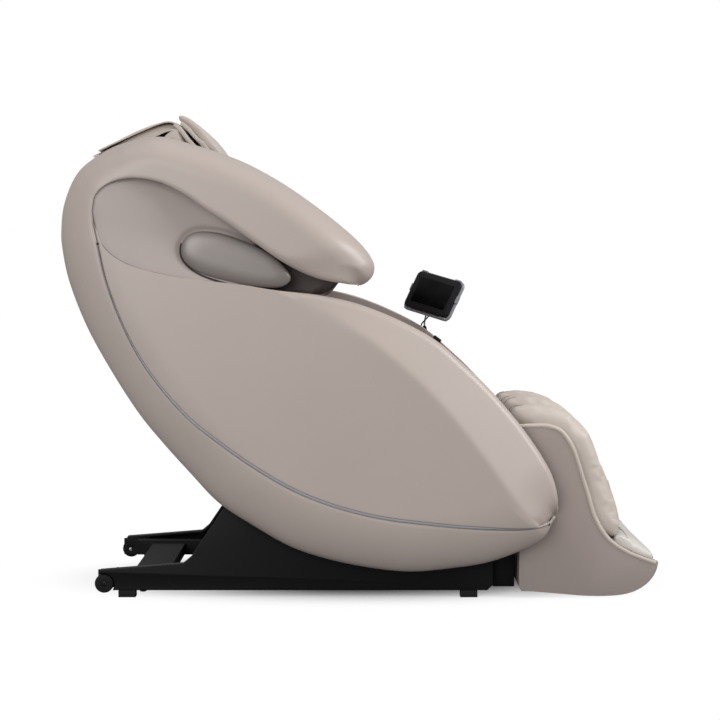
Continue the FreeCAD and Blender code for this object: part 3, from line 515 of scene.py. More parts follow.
def speaker(side, hollow):
    """The speaker's domed metal cover, in a dark gap ringed by a painted shadow tube."""
    sign = SIGN[side]
    rear, front = np.array([-222.0, 872.0]), np.array([-70.0, 826.0])
    along = front - rear
    foot = rear + np.clip(((SPEAKER_LINE - rear) @ along) / (along @ along), 0, 1)[:, None] * along
    layers = [lifted(SPEAKER_LINE, 338)]
    for r in (1.0, 0.985, 0.955, 0.91, 0.84, 0.74, 0.6, 0.42, 0.22, 0.05):
        layers.append(lifted(foot + (SPEAKER_LINE - foot) * r, 360 + 14 * roll(1 - r, 0.75)))
    count, cols = len(SPEAKER_LINE), len(layers)
    faces = grid_faces(count, cols, wrap=True) + [tuple(i * cols + cols - 1 for i in range(count))]
    verts = to_row(np.stack(layers, axis=1).reshape(-1, 3) * (1, sign, 1))
    outward(piece(f"speaker_{side}", verts, faces, "speaker", stands_for=once("speaker_pods", side)), sign)
    # A dark tube round the speaker's edge is a painted shadow in its gap.
    around = [at(x, 450 * sign, z) for x, z in SPEAKER_LINE + (SPEAKER_LINE - foot) * 0.05]
    ring = on_surface(hollow, around[55:] + around[:4], (0, -sign, 0))
    tube(f"speaker_gap_shadow_{side}", ring, 0.0026, "gap", "pod", "speaker")


def tube(name, path, radius, material, body="pod", slot=None, stands_for=None, sides=10):
    """A round bead along a path of row-frame metres."""
    path, verts = [Vector(p) for p in path], []
    for i, p in enumerate(path):
        tangent = (path[min(i + 1, len(path) - 1)] - path[max(i - 1, 0)]).normalized()
        one = tangent.cross(Vector((0, 1, 0)))
        one = one.normalized() if one.length > 0.05 else tangent.cross(Vector((0, 0, 1))).normalized()
        two = tangent.cross(one)
        for k in range(sides):
            turn = 2 * pi * k / sides
            verts.append(p + one * cos(turn) * radius + two * sin(turn) * radius)
    return piece(name, verts, ring_faces(len(path), sides), material, body, slot, stands_for)


def strip(side):
    """The smoked light strip in its groove, with a dark line along each side and a dot at each end."""
    sign = SIGN[side]
    line = spline([pair[:2] for pair in LEAF_PAIRS[1:-1]], 200)
    u = np.linspace(0, 1, len(line))
    swell = step(u, 0.0, 0.35) * (1 - step(u, 0.85, 1.0))
    normal, layers = normals_of(line), []
    for k in np.linspace(-1, 1, 7):
        points = line + normal * ((0.5 + 2.6 * swell) * k)[:, None]
        layers.append(lifted(points, belly_y(points) - 0.2 - 1.6 * k * k))
    side_piece(f"light_strip_{side}", layers, side, "light_strip", once("light_strips", side), thick=0)
    for k, way in (("upper", -1), ("lower", 1)):
        points = line + normal * ((0.8 + 2.8 * swell) * way)[:, None]
        path = to_row(lifted(points, (belly_y(points) + 0.05) * sign))
        tube(f"strip_line_{k}_{side}", path, 0.0005, "seam_line", "pod", "light_strip")
    dot = [(0.0, 0.0034), (0.0012, 0.0030), (0.0016, 0.0015)]
    for k, i in (("rear", 0), ("front", -1)):
        place = at(line[i][0], belly_y(line[i:][:1])[0] * sign, line[i][1])
        lathe(f"strip_end_{k}_{side}", dot, place, (0, sign, 0), "gap", "pod", "light_strip", sides=20)


# ---- copies of the CAD solids, finished

def solids(node):
    """The node's separate solids as (verts, faces) in the row frame, flat faces merged."""
    source = NODES[node]
    bm = bmesh.new()
    bm.from_mesh(source.data)
    bm.transform(source.matrix_world)
    bmesh.ops.remove_doubles(bm, verts=bm.verts, dist=1e-5)
    bmesh.ops.dissolve_limit(bm, angle_limit=radians(1.5), verts=bm.verts, edges=bm.edges)
    bm.verts.ensure_lookup_table()
    seen, found = set(), []
    for start in bm.verts:
        if start.index in seen:
            continue
        island, todo = [], [start]
        seen.add(start.index)
        while todo:
            vert = todo.pop()
            island.append(vert)
            for edge in vert.link_edges:
                other = edge.other_vert(vert)
                if other.index not in seen:
                    seen.add(other.index)
                    todo.append(other)
        places = {v.index: i for i, v in enumerate(island)}
        faces = [[places[v.index] for v in f.verts] for f in bm.faces if f.verts[0].index in places]
        found.append(([v.co.copy() for v in island], faces))
    bm.free()
    found.sort(key=lambda s: (round(min(v.y for v in s[0]), 4), round(min(v.x for v in s[0]), 4)))
    return found


def rounded(node, width):
    """Copies of the node's solids with eased edges, standing for it."""
    body, slot = body_of(NODES[node])[0], SLOT_OF[node]
    for i, (verts, faces) in enumerate(solids(node)):
        finish = (slot, body, slot, node if i == 0 else None)
        obj = piece(f"{node}.{i}", verts, faces, *finish)
        bevel(obj, width, 3, 35)
        bake(obj)
        obj.data.set_sharp_from_angle(angle=radians(38))
        obj.parent = None
        dress(obj, *finish, smooth=False)


# ---- soft goods

CLOTH_FRAMES = 20


def coords(mesh, key="co"):
    """The vertices' places, or their normals, as an (n, 3) array."""
    flat = np.empty(len(mesh.vertices) * 3)
    mesh.vertices.foreach_get(key, flat)
    return flat.reshape(-1, 3)


def set_coords(mesh, values):
    """Moves the vertices to an (n, 3) array of places."""
    mesh.vertices.foreach_set("co", np.ascontiguousarray(values).ravel())
    mesh.update()


def pull_in(mesh, depth):
    """Moves each vertex inwards along its normal."""
    set_coords(mesh, coords(mesh) - coords(mesh, "normal") * depth)


def inflate(obj, cap, pinned):
    """Lets the piece swell as cloth, moving no point further than cap."""
    start = coords(obj.data)
    group = obj.vertex_groups.new(name="seam")
    group.add([int(i) for i in np.nonzero(pinned)[0]], 1.0, "REPLACE")
    cloth = modifier(obj, "CLOTH").settings
    cloth.quality, cloth.mass = 5, 0.3
    cloth.use_pressure, cloth.uniform_pressure_force = True, 4.0
    cloth.tension_stiffness = cloth.compression_stiffness = 12
    cloth.bending_stiffness = 1.5
    cloth.effector_weights.gravity = 0
    cloth.vertex_group_mass = "seam"
    scene = bpy.context.scene
    for frame_number in range(1, CLOTH_FRAMES + 1):
        scene.frame_set(frame_number)
    bake(obj)
    scene.frame_set(1)
    move = coords(obj.data) - start
    length = np.maximum(np.linalg.norm(move, axis=1, keepdims=True), 1e-9)
    set_coords(obj.data, start + move * (cap * np.tanh(length / cap) / length))


def pad(name, solid, material, body="pod", slot=None, stands_for=None, cap=0.012, voxel=0.006, ease=0.012,
        shrink=0.004, seam=None, groove=0.004, seam_width=0.007):
    """A stitched pad: the solid eased, remeshed, swollen as cloth, pulled in along its seams and subdivided.

    seam(points, facing) gives each point's distance from the nearest seam, in metres."""
    def seam_gap():
        return seam(coords(obj.data), coords(obj.data, "normal")) if seam else np.ones(len(obj.data.vertices))
    obj = piece(name, *solid, material, body, slot)
    bevel(obj, ease, 3, 40)
    modifier(obj, "REMESH", mode="VOXEL", voxel_size=voxel)
    bake(obj)
    pull_in(obj.data, shrink)
    inflate(obj, cap, seam_gap() < seam_width)
    modifier(obj, "SUBSURF", levels=1, render_levels=1)
    modifier(obj, "SMOOTH", factor=0.5, iterations=3)
    bake(obj)
    if seam:
        pull_in(obj.data, groove * np.exp(-((seam_gap() / seam_width) ** 2))[:, None])
    obj.parent = None
    return dress(obj, material, body, slot, stands_for)


def on_surface(obj, points, direction, lift=0.0):
    """Points dropped on the piece along a direction."""
    tree = BVHTree.FromPolygons([v.co for v in obj.data.vertices], [p.vertices for p in obj.data.polygons])
    way, out = Vector(direction).normalized(), []
    for p in points:
        place = tree.ray_cast(Vector(p) - way * 0.2, way)[0]
        if place is not None:
            out.append(place - way * lift)
    return out


def stitches(name, path, pitch=0.009, length=0.006, radius=0.0007):
    """A row of thread stitches along a path on a light pad."""
    verts, faces, travelled, want = [], [], 0.0, 0.0
    for a, b in zip(path, path[1:]):
        span = (b - a).length
        while span > 1e-9 and want <= travelled + span:
            start = a + (b - a) * ((want - travelled) / span)
            along = (b - a).normalized()
            side = along.cross(Vector((0.31, 0.52, 0.79))).normalized()
            up = along.cross(side)
            faces += ring_faces(4, 6, len(verts))
            for t, r in ((0, 0.3), (0.18, 1.0), (0.82, 1.0), (1, 0.3)):
                for k in range(6):
                    turn = k * pi / 3
                    verts.append(start + along * length * t + (side * cos(turn) + up * sin(turn)) * radius * r)
            want += pitch
        travelled += span
    piece(name, verts, faces, "thread", "pod", LIGHT)


def sheet(name, spine, half, material, slot=None, stands_for=None, thick=0.005, crown=0.0, wave=0.0, droop=0.0,
          cols=61, rows=70):
    """A draped sheet: a side-view curve run across the pod, crowned, rippled, and drooping at its sides."""
    line = spline(spine, rows)
    normal = normals_of(line)
    pinch = 0.012 * np.cos(np.linspace(0, 7, rows))
    layers = []
    for t in np.linspace(-1, 1, cols):
        lift = crown * (1 - t * t) + wave * np.sin(np.linspace(0, 9, rows) + 5 * t) * (0.4 + 0.6 * t * t)
        points = line + normal * lift[:, None]
        points[:, 1] -= droop * step(abs(t), 0.78, 1.0) * np.sin(np.linspace(0.15, pi - 0.15, rows))
        layers.append(lifted(points, half * t * (1 - 0.02 * (droop > 0) * step(abs(t), 0.9, 1.0) - pinch)))
    obj = piece(name, *woven(layers), material, "pod", slot)
    modifier(obj, "SOLIDIFY", thickness=thick, offset=0.0)
    bevel(obj, thick * 0.3, 2, 50)
    bake(obj)
    obj.parent = None
    dress(obj, material, "pod", slot, stands_for)


def lathe(name, profile, centre, axis, material, body="pod", slot=None, stands_for=None, sides=64, lobes=(0, 0.0)):
    """A turned part: profile is (along, radius) in metres; lobes adds a wavy rim."""
    way = Vector(axis).normalized()
    one = way.orthogonal().normalized()
    two = way.cross(one)
    rim = 0.3 * max(radius for _, radius in profile)
    verts = []
    for along, radius in profile:
        for k in range(sides):
            turn = 2 * pi * k / sides
            r = radius + lobes[1] * cos(lobes[0] * turn) * (radius > rim)
            verts.append(Vector(centre) + way * along + (one * cos(turn) + two * sin(turn)) * r)
    obj = piece(name, verts, ring_faces(len(profile), sides), material, body, slot, stands_for)
    obj.data.set_sharp_from_angle(angle=radians(40))


def extruded(outline, low, high):
    """A side-view outline across y from low to high."""
    count = len(outline)
    verts = [at(x, y, z) for y in (low, high) for x, z in outline]
    area = sum(a[0] * b[1] - b[0] * a[1] for a, b in zip(outline, outline[1:] + outline[:1]))
    faces = [list(range(count)), list(range(2 * count - 1, count - 1, -1))]
    faces += [((i + 1) % count, i, count + i, count + (i + 1) % count) for i in range(count)]
    return verts, [f[::-1] for f in faces] if area < 0 else faces


def ribbon(spine, thick, count=40):
    """The closed outline of a curve given a thickness that eases off at both ends."""
    line = spline(spine, count)
    u = np.linspace(0, 1, count)
    half = thick / 2 * (0.35 + 0.65 * np.minimum(roll(u, 0.12), roll(u[::-1], 0.12)))
    offset = normals_of(line) * half[:, None]
    return [tuple(p) for p in np.vstack([line + offset, (line - offset)[::-1]])]


# ---- the chair's parts

def seat():
    """Seat cushion: a middle panel between two side rolls, with a front roll."""
    low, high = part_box("seat_cushion")
    roll_y, front_x, rear_x = 0.165, high.x - 0.105, low.x + 0.15

    def near(points, facing):
        x, y = points[:, 0], np.abs(points[:, 1])
        across = np.minimum(np.abs(x - front_x), np.abs(x - rear_x))
        gap = np.minimum(np.abs(y - roll_y), np.where(y < roll_y, across, 1.0))
        return np.where(facing[:, 2] > 0.3, gap, 1.0)
    obj = pad("seat_cushion.pad", solids("seat_cushion")[0], LIGHT, stands_for="seat_cushion",
              cap=0.02, shrink=0.009, seam=near, groove=0.006, ease=0.02)
    for side, sign in SIDES:
        path = [(low.x + 0.03 + t * (high.x - low.x - 0.06), sign * 0.172, high.z) for t in np.linspace(0, 1, 60)]
        stitches(f"seat_stitch_{side}", on_surface(obj, path, (0, 0, -1)))
    path = [(high.x - 0.112, y, high.z) for y in np.linspace(-0.155, 0.155, 50)]
    stitches("seat_stitch_front", on_surface(obj, path, (0, 0, -1)))
    front = [(450, 427), (464, 416), (471, 402), (470, 388)]
    behind = [(-95, 540), (-62, 455), (-20, 412), (40, 392), (110, 388)]
    sheet("seat_gap_lining", behind, 296, "dark_lining", thick=0.005)
    sheet("seat_apron", front, 250, DARK, thick=0.008, crown=4)


def backrest():
    """Back cushion with channels, bolsters at its sides, and the panel over the crown behind it, darkened as painted
    shadow under the flap.
    """
    axis_up = np.array([-sin(LEAN), 0, cos(LEAN)])
    axis_out = np.array([cos(LEAN), 0, sin(LEAN)])
    foot = np.array(at(*back_at(0, 0)))

    def near(points, facing):
        along, y = (points - foot) @ axis_up, np.abs(points[:, 1])
        rows = np.min([np.abs(along - a) for a in (0.14, 0.26, 0.38, 0.5)], axis=0)
        gap = np.minimum(np.abs(y - 0.125), np.where(y < 0.125, rows, 1.0))
        return np.where(facing @ axis_out > 0.35, gap, 1.0)
    solid = solids("back_cushion")[0]
    rear = np.min((np.array(solid[0], float) - foot) @ axis_out) + 0.004
    obj = pad("back_cushion.pad", solid, LIGHT, stands_for="back_cushion",
              cap=0.02, shrink=0.01, seam=near, groove=0.006, ease=0.02)
    behind = rear - (coords(obj.data) - foot) @ axis_out
    set_coords(obj.data, coords(obj.data) + np.maximum(behind, 0)[:, None] * axis_out)
    for side, sign in SIDES:
        path = [at(*back_at(a, 20, sign * 132)) for a in np.linspace(30, 560, 90)]
        stitches(f"back_stitch_{side}", on_surface(obj, path, tuple(-axis_out)))
    wing = [back_at(a, out)[::2] for a, out in ((12, -78), (655, -78), (655, 12), (12, 12))]
    spine = [back_at(a, out)[::2] for a, out in ((40, -62), (90, -84), (250, -89), (430, -84), (470, -70))]
    for side, sign in SIDES:
        pad(f"back_bolster_{side}", extruded(wing, *sorted((sign * 234, sign * 294))), DARK,
            cap=0.01, shrink=0.006, ease=0.018, voxel=0.008)
        lining = extruded(ribbon(spine, 5), *sorted((sign * 192, sign * 246)))
        piece(f"back_gap_lining_{side}", *lining, "dark_lining")
    rest = [(-120, 445), (-120, 742), (40, 746), (108, 728), (158, 709), (208, 684), (258, 652), (307, 616), (357, 574),
            (392, 540), (398, 445)]
    lip = spline([(50, 760), (69, 766), (86, 776), (99, 789), (108, 805), (110, 826), (98, 858)], 50)
    shoulder = [(-120, 740), (50, 752)] + [tuple(p) for p in lip] + [(60, 905), (-120, 960)]
    for side, sign in SIDES:
        low = 271 * sign - 26
        pad(f"shoulder_pad_{side}", extruded(shoulder, low, low + 52), DARK,
            stands_for=once("shoulder_pads", side, "right"), cap=0.007, shrink=0.002, ease=0.008)
        edge = [at(x - 6, 295 * sign, z) for x, z in lip]
        tube(f"shoulder_piping_{side}", edge, 0.0026, DARK)
        pad(f"armrest_{side}", extruded(rest, low + 3, low + 48), DARK,
            stands_for=once("armrest_pads", side, "right"), cap=0.008, shrink=0.004, ease=0.014)
    # The crown panel takes the dark lining as a painted shadow beneath the pillow flap.
    crown = [(-352, 1148), (-318, 1145), (-285, 1128), (-240, 1098), (-222, 1078), (-222, 1056)]
    sheet("crown_shade_panel", crown, 295, "dark_lining", thick=0.006, crown=3)


def head_rest():
    """Three layers of head pillow over the top of the backrest, and the flap that holds them behind."""
    front = [(-309, 1229), (-286, 1214), (-258, 1189), (-231, 1160), (-203, 1125), (-183, 1085), (-170, 1040),
             (-160, 985)]
    second = [(-304, 1209), (-287, 1195), (-263, 1170), (-240, 1147), (-222, 1105), (-205, 1050)]
    third = [(-321, 1206), (-304, 1190), (-284, 1165), (-261, 1138), (-242, 1098), (-226, 1050)]
    core = [(-352, 1172), (-336, 1186), (-322, 1196), (-313, 1199), (-306, 1186), (-292, 1158), (-280, 1130),
            (-340, 1140)]

    def near(points, facing):
        return np.where(facing @ (0.8, 0, 0.6) > 0.35, np.abs(np.abs(points[:, 1]) - 0.075), 1.0)
    pad("head_pillow.front", extruded(ribbon(front, 20), -147, 147), LIGHT, stands_for="head_pillow",
        cap=0.004, shrink=0.001, ease=0.005, voxel=0.0045, seam=near, groove=0.003, seam_width=0.006)
    sheet("head_pillow.middle", second, 146, LIGHT, thick=0.011, wave=0.8)
    sheet("head_pillow.rear", third, 148, LIGHT, thick=0.012, wave=0.8)
    pad("head_pillow.core", extruded(core, -148, 148), LIGHT, cap=0.004, shrink=0.001, ease=0.003)
    over = [(-529, 1126), (-500, 1140), (-479, 1151), (-437, 1173), (-404, 1187), (-362, 1202), (-337, 1207),
            (-314, 1203), (-293, 1184)]
    under = [(-527, 1122), (-500, 1132), (-460, 1144), (-420, 1157), (-380, 1165), (-345, 1170), (-320, 1184)]
    top = [(-517, 1138), (-479, 1159), (-437, 1180), (-404, 1194), (-362, 1209), (-337, 1214), (-316, 1209)]
    sheet("pillow_flap.over", over, 150, LIGHT, thick=0.004, wave=1.2, droop=30, stands_for="pillow_flap")
    sheet("pillow_flap.top", top, 146, LIGHT, thick=0.004, wave=0.6, droop=5)
    # The under flap is light leather by its slot but drawn in dark leather: a painted shadow beneath the flap.
    sheet("pillow_flap.shaded_under", under, 140, DARK, LIGHT, thick=0.005, wave=1.0)


def back_panel():
    """The moulded back: crowned, with a recessed middle, a ribbed vent and a skirt below."""
    spine = spline([(-360, 443), (-457, 588), (-516, 698), (-560, 820), (-574, 900), (-567, 992), (-540, 1060),
                    (-486, 1119), (-420, 1148), (-350, 1156)], 170)
    normal, along = normals_of(spine), lengths(spine)
    layers = []
    for t in np.linspace(-1, 1, 131):
        y = 296 * t
        inside = step(205 - abs(y), 0, 9) * step(along, 120, 129) * (1 - step(along, 640, 649))
        rib = inside * step(150 - abs(y), 0, 10) * step(along, 150, 160) * (1 - step(along, 262, 272))
        rise = 10 * (1 - t * t) - 4 * inside + 3 * rib * np.sin(along * 2 * pi / 16)
        layers.append(lifted(spine + normal * rise[:, None], y))
    obj = piece("back_cover.panel", *woven(layers), "shell", stands_for="back_cover")
    modifier(obj, "SOLIDIFY", thickness=0.004, offset=0.0)
    fold = spline([(-368, 430), (-300, 352), (-261, 314), (-200, 268)], 110)
    layers = []
    for t in np.linspace(-1, 1, 41):
        ripple = 4 * np.abs(np.sin(np.linspace(0, 9 * pi, 110))) + 4 * (1 - t * t)
        layers.append(lifted(fold - 0.7 * ripple[:, None], 234 * t))
    skirt = piece("rear_skirt.bellows", *woven(layers), "rubber", "pod", PLASTIC, "rear_skirt")
    modifier(skirt, "SOLIDIFY", thickness=0.003, offset=0.0)


def leg_rest():
    """Calf pads, the pads in the wells, the toe pad with its piping, and the massage rollers in the sole."""
    calf = [(531, 468), (533, 484), (552, 497), (600, 501), (650, 493), (697, 474), (749, 422), (789, 334), (817, 240),
            (829, 178), (817, 142), (576, 142), (576, 420), (550, 430), (530, 446)]
    piping = spline([(545, 485), (600, 495), (650, 492), (690, 475), (740, 420), (780, 330), (809, 238),
                     (822, 185)], 120)
    for name, low, high in (("right", -262, -178), ("middle", -68, 68), ("left", 178, 262)):
        obj = pad(f"calf_pad_{name}", extruded(calf, low, high), LIGHT, "leg_rest",
                  stands_for=once("calf_pads", name, "right"), cap=0.012, shrink=0.004, ease=0.016)
        # Dark leather tubes along each calf pad's creases are painted crease shadows on the light leather.
        for k, (x, y) in enumerate(((538, low + 14), (552, low + 34), (541, high - 26))):
            fold = [at(x + 3 * t, y + 2.2 * t * (2 - k), 600) for t in np.linspace(0, 8, 14)]
            fold = on_surface(obj, fold, (0, 0, -1), -0.0003)
            tube(f"calf_crease_shadow_{name}_{k}", fold, 0.0011, DARK, "leg_rest", LIGHT)
        if name != "middle":
            sign = SIGN[name]
            line = on_surface(obj, [at(x, 300 * sign, z) for x, z in piping], (0, -sign, 0), -0.0003)
            tube(f"calf_piping_{name}", line, 0.0017, LIGHT, "leg_rest")
    for (side, _), solid in zip(SIDES, solids("calf_well_pads")):
        pad(f"calf_well_{side}", solid, DARK, "leg_rest",
            stands_for=once("calf_well_pads", side, "right"), cap=0.009, shrink=0.004, ease=0.012, voxel=0.007)
    sole = [(800, 70), (800, 158), (822, 160), (850, 148), (908, 108), (913, 96), (868, 68)]
    toe = pad("toe_pad.cover", extruded(sole, -266, 266), "toe", "leg_rest", LIGHT, "toe_pad", cap=0.006,
              shrink=0.003, ease=0.008)
    path = on_surface(toe, [at(840, y, 200) for y in np.linspace(-255, 255, 90)], (0, 0, -1), 0.0004)
    tube("toe_piping", path, 0.0021, LIGHT, "leg_rest")
    for node, x in (("foot_roller_rear", 640), ("foot_roller_front", 740)):
        body = body_of(NODES[node])[0]
        axle = [(0, 0.003), (0.002, 0.005), (0.498, 0.005), (0.5, 0.003)]
        lathe(f"{node}.axle", axle, at(x, -250, 84), (0, 1, 0), "steel", body, "rubber", node, sides=24)
        profile = [(0.0, 0.008), (0.001, 0.012)]
        profile += [(0.002 + 0.086 * t, 0.0165 + 0.003 * abs(sin(t * 4 * pi))) for t in np.linspace(0, 1, 40)]
        profile += [(0.089, 0.012), (0.09, 0.008)]
        for i, y in enumerate((-170, 80)):
            lathe(f"{node}.drum_{i}", profile, at(x, y, 84), (0, 1, 0), "rubber", body, lobes=(8, 0.0008))
    edge = spline([(528, 431), (564, 437), (600, 439), (632, 438), (664, 426), (694, 386), (727, 290), (754, 204),
                   (787, 152), (834, 119), (872, 103), (908, 90)], 140)
    for side, sign in SIDES:
        bead = [at(x, 281 * sign, z) for x, z in edge]
        tube(f"leg_edging.{side}", bead, 0.0062, LIGHT, "leg_rest", stands_for=once("leg_edging", side))
    rounded("leg_shell", 0.005)


def mirrored(half):
    """A turned profile that is the same on both sides of its middle."""
    return [(-along, radius) for along, radius in half] + half[::-1]


def wheels():
    """Transport wheels: a grooved tyre, a dished hub and an axle cap."""
    tyre = mirrored([(0.010, 0.014), (0.010, 0.0205), (0.0085, 0.0232), (0.005, 0.024), (0.003, 0.0233),
                     (0.001, 0.024)])
    hub = mirrored([(0.0104, 0.006), (0.0104, 0.0085), (0.0085, 0.010), (0.0085, 0.0125), (0.0106, 0.0138),
                    (0.0104, 0.0144)])
    cap = [(0.0, 0.0045), (0.002, 0.0052), (0.0035, 0.004), (0.0038, 0.002)]
    for side, sign in SIDES:
        node = "transport_wheel_" + side
        centre = at(-494, 261 * sign, 34)
        lathe(f"{node}.tyre", tyre, centre, (0, 1, 0), "rubber", "wheel_" + side, stands_for=node)
        lathe(f"{node}.hub", hub, centre, (0, 1, 0), PLASTIC, "wheel_" + side, "rubber")
        lathe(f"wheel_axles.cap_{side}", cap, at(-494, 271.5 * sign, 34), (0, sign, 0), "black_steel", "base", "steel",
              sides=6)


TABLET_AT, STALK_AT = (367, 300, 756), (343, 328)
RIGHT = Vector((0.78, -0.583, -0.227)).normalized()
OUT = RIGHT.cross(Vector((0.4275, 0.2115, 0.879))).normalized()
UP = OUT.cross(RIGHT)


def slab(name, wide, high, deep, middle, corner, ease, material, slot, stands_for=None):
    """A round-cornered plate on the tablet: middle is (right, up, out) from its centre, in millimetres."""
    outline, steps = [], 8
    for cx, cy, turn in ((1, 1, 0), (-1, 1, 90), (-1, -1, 180), (1, -1, 270)):
        for k in range(steps + 1):
            a = radians(turn + 90 * k / steps)
            outline.append((cx * (wide / 2 - corner) + corner * cos(a), cy * (high / 2 - corner) + corner * sin(a)))
    verts = []
    for level, inset in ((-deep / 2, ease), (-deep / 2 + ease, 0), (deep / 2 - ease, 0), (deep / 2, ease)):
        for u, v in outline:
            u, v = u * (1 - 2 * inset / wide), v * (1 - 2 * inset / high)
            place = RIGHT * (u + middle[0]) + UP * (v + middle[1]) + OUT * (level + middle[2])
            verts.append(at(*TABLET_AT) + place / 1000)
    obj = piece(name, verts, ring_faces(4, len(outline)), material, "tablet_tilt", slot, stands_for)
    obj.data.set_sharp_from_angle(angle=radians(50))


def tablet():
    """Touch screen in a bezel, in a lighter cradle with clips, on a thin stalk with its cable."""
    wide, high = 158, 119
    slab("tablet.body", wide - 5, high - 5, 15, (0, 0, 0.5), 15, 3, "bezel", "screen", "tablet")
    slab("tablet.glass", wide - 40, high - 42, 1.6, (0, 1, 8.3), 3, 0.5, "screen", "screen")
    slab("tablet_holder.tray", wide + 5, high + 5, 10, (0, -1, -6.5), 18, 3, "tablet_shell", PLASTIC,
         "tablet_holder")
    clips = [(-79, 4, 6, 22), (79, 4, 6, 22), (-60, -59, 26, 6), (60, -59, 26, 6), (-58, 59, 20, 6), (58, 59, 20, 6)]
    for i, (u, v, w, h) in enumerate(clips):
        slab(f"tablet_holder.clip_{i}", w, h, 14, (u, v, -3.5), 2.0, 1.2, "tablet_shell", PLASTIC)
    slab("tablet_holder.web", 16, 14, 14, (0, -31, -17), 3, 1.5, "bezel", PLASTIC)
    knuckle = at(*TABLET_AT) - UP * 0.030 - OUT * 0.022
    profile = [(0, 0.0055), (0.0015, 0.0078), (0.0165, 0.0078), (0.018, 0.0055)]
    lathe("tablet_holder.knuckle", profile, knuckle - RIGHT * 0.009, RIGHT, "bezel", "tablet_tilt", PLASTIC,
          sides=40)
    foot, head = at(*STALK_AT, 656), knuckle - RIGHT * 0.016 - OUT * 0.006
    tube("tablet_stalk.rod", [foot, foot + Vector((0, 0, 0.02)), knuckle - RIGHT * 0.016], 0.0026, "steel", "stalk",
         stands_for="tablet_stalk")
    pin = [(0, 0.003), (0.001, 0.0046), (0.006, 0.0046), (0.007, 0.003)]
    lathe("tablet_stalk.pin", pin, knuckle - RIGHT * 0.019, RIGHT, "bezel", "stalk", "steel", sides=32)
    collar = [(0, 0.0058), (0.001, 0.0064), (0.006, 0.0064), (0.008, 0.005), (0.0085, 0.0035)]
    lathe("tablet_stalk.collar", collar, foot, (0, 0, 1), PLASTIC, "stalk", "steel", sides=40)
    middle = (foot + head) / 2
    bends = [(foot, (-0.008, -0.005, 0)), (foot, (-0.009, -0.006, 0.014)), (middle, (0.001, -0.006, 0)),
             (middle, (0.011, -0.006, 0.012)), (head, (0.014, 0.0, -0.008)), (head, (0, 0, 0))]
    curve = spline([tuple(start + Vector(offset)) for start, offset in bends], 50)
    tube("tablet_cable", curve, 0.0019, PLASTIC, "stalk", "steel")
    cup = [(0, 0.0115), (0.008, 0.0112), (0.016, 0.008), (0.026, 0.0052), (0.028, 0.0035)]
    lathe("stalk_socket.cup", cup, at(*STALK_AT, 638), (0, 0, 1), PLASTIC, sides=40, stands_for="stalk_socket")
    rounded("arm_dial", 0.0012)
    way = Vector((0.6, 0, 0.8)).normalized()
    knob = [(0.0, 0.0122), (0.0012, 0.0127), (0.008, 0.0122), (0.0095, 0.011), (0.0098, 0.004)]
    lathe("arm_dial.grip", knob, at(375, 282, 627), way, "bezel", "dial", PLASTIC, lobes=(24, 0.00025))


def hard_parts():
    """Every CAD node that nothing stands for yet, with eased edges and its finish."""
    easing = {"base_covers": 0.007, "base_front_cover": 0.006, "base_frame": 0.003, "power_box": 0.004,
              "rail_bolts": 0.0008, "pod_frame": 0.002, "power_switch": 0.0015, "massage_rollers_left": 0.003,
              "massage_rollers_right": 0.003}
    top = [(x, z - 2) for x, z in LEAF_TOP[110:296:6][::-1]]
    inner = [(-300, 620), (-180, 440), (0, 320), (160, 255), (340, 232), (540, 224), (610, 222)] + top + [(-180, 742)]
    # The liners take the leg shell's tan instead of their dark lining, painted to pass for the far arm panel in shade.
    for side, sign in SIDES:
        low = 303 * sign - 2
        piece(f"arm_liner_{side}", *extruded(inner, low, low + 4), "leather_shell", "pod", "dark_lining",
              once("arm_liners", side), smooth=False)
    for node, obj in NODES.items():
        if not obj.hide_render:
            rounded(node, easing.get(node, 0.0012))
    screw = [(0, 0.004), (0.0015, 0.0085), (0.005, 0.0092), (0.0055, 0.0092)]
    for side, sign in SIDES:
        lathe(f"cover_screw_{side}", screw, at(-395, 261 * sign, 12.6), (0, 0, 1), PLASTIC, "base", sides=24)


for SIDE in ("left", "right"):
    band(SIDE)
    leaf(SIDE)
    speaker(SIDE, dish(SIDE))
    strip(SIDE)
seat()
backrest()
head_rest()
back_panel()
leg_rest()
wheels()
tablet()
hard_parts()


# ---- stage

CAMERA_AT, CAMERA_PITCH, LENS = (158, -4590, 872), 3.54, 85.7


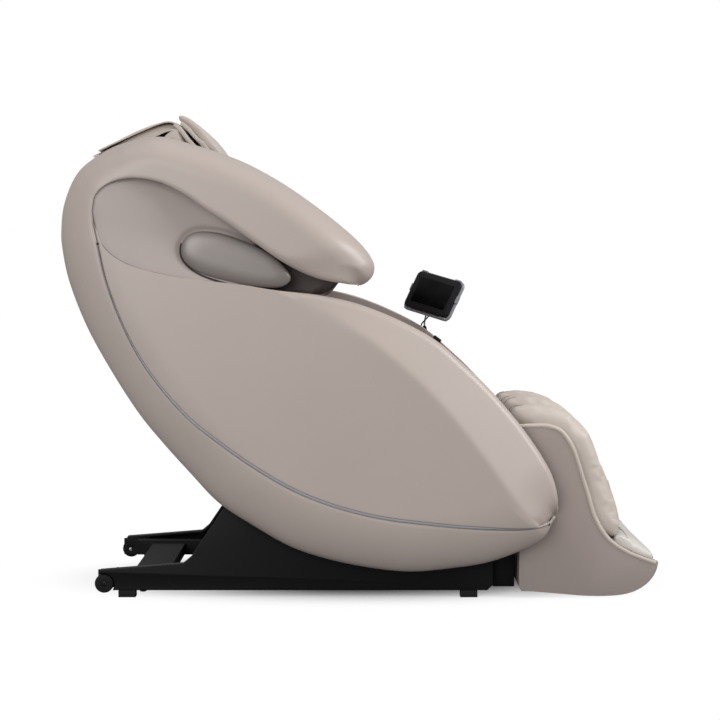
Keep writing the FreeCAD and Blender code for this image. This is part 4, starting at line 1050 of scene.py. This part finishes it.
def floor_material():
    """A pale floor that fades into the white background away from the object."""
    material = surface("floor_pale", (250, 250, 250), 0.6, mottle=0.005, mottle_scale=1.5, scale=30,
                       depth=1e-5, edge_highlight=0.0)
    tree = material.node_tree
    bsdf, out = tree.nodes["Principled BSDF"], tree.nodes["Material Output"]
    coords = add(tree, "TexCoord")
    oval = add(tree, "Mapping", Scale=(1.25, 2.6, 1.0))
    link(coords, "Object", oval, "Vector")
    reach = add(tree, "VectorMath", operation="LENGTH")
    link(oval, "Vector", reach, "Vector")
    fade = scaled(tree, 0.35, 1.15, interpolation_type="SMOOTHSTEP")
    link(reach, "Value", fade, "Value")
    glow = add(tree, "Emission", Color=(1, 1, 1, 1), Strength=1.0)
    mixed = add(tree, "MixShader")
    rays = add(tree, "LightPath")
    link(fade, "Result", mixed, "Fac")
    link(bsdf, "BSDF", mixed, 1)
    link(glow, "Emission", mixed, 2)
    dim = add(tree, "BsdfDiffuse", Color=(0.35, 0.35, 0.35, 1))
    seen = add(tree, "MixShader")
    link(rays, "Is Camera Ray", seen, "Fac")
    link(dim, "BSDF", seen, 1)
    link(mixed, "Shader", seen, 2)
    link(seen, "Shader", out, "Surface")
    return material


def studio():
    """White to the camera; to everything else a dome that is bright above and dimmer below."""
    world = bpy.data.worlds.new("studio")
    bpy.context.scene.world = world
    world.use_nodes = True
    tree = world.node_tree
    seen = tree.nodes["Background"]
    seen.inputs["Color"].default_value, seen.inputs["Strength"].default_value = (1, 1, 1, 1), 1.0
    lit = add(tree, "Background", Strength=0.6)
    coords = add(tree, "TexCoord")
    parts = add(tree, "SeparateXYZ")
    link(coords, "Generated", parts, "Vector")
    shade = scaled(tree, -0.5, 0.6, 0.3, 1.0)
    link(parts, "Z", shade, "Value")
    link(shade, "Result", lit, "Color")
    rays = add(tree, "LightPath")
    mixed = add(tree, "MixShader")
    link(rays, "Is Camera Ray", mixed, "Fac")
    link(lit, "Background", mixed, 1)
    link(seen, "Background", mixed, 2)
    link(mixed, "Shader", tree.nodes["World Output"], "Surface")


def stage():
    """The floor, the lamps and the camera, which looks at the chair's right side."""
    bpy.ops.mesh.primitive_plane_add(size=40, location=(0, 0, 0))
    floor = bpy.context.object
    floor.name = "floor"
    floor.data.materials.append(floor_material())
    studio()

    lamps = [("key", (3.0, -1.1, 2.4), 1.8, 88), ("side", (-1.6, -3.4, 1.7), 2.4, 56),
             ("top", (-0.4, -0.4, 3.4), 2.6, 10)]
    for name, place, size, power in lamps:
        data = bpy.data.lights.new(name, "AREA")
        data.size, data.energy = size, power
        lamp = bpy.data.objects.new(name, data)
        bpy.context.collection.objects.link(lamp)
        lamp.location = place
        lamp.rotation_mode = "QUATERNION"
        lamp.rotation_quaternion = (Vector((0, 0, 0.6)) - Vector(place)).to_track_quat("-Z", "Y")

    data = bpy.data.cameras.new("camera")
    data.sensor_width, data.lens = 36.0, LENS
    camera = bpy.data.objects.new("camera", data)
    bpy.context.collection.objects.link(camera)
    camera.location = at(*CAMERA_AT)
    camera.rotation_euler = (radians(90 - CAMERA_PITCH), 0, 0)
    bpy.context.scene.camera = camera
    bpy.context.scene.view_settings.view_transform = "Standard"


stage()
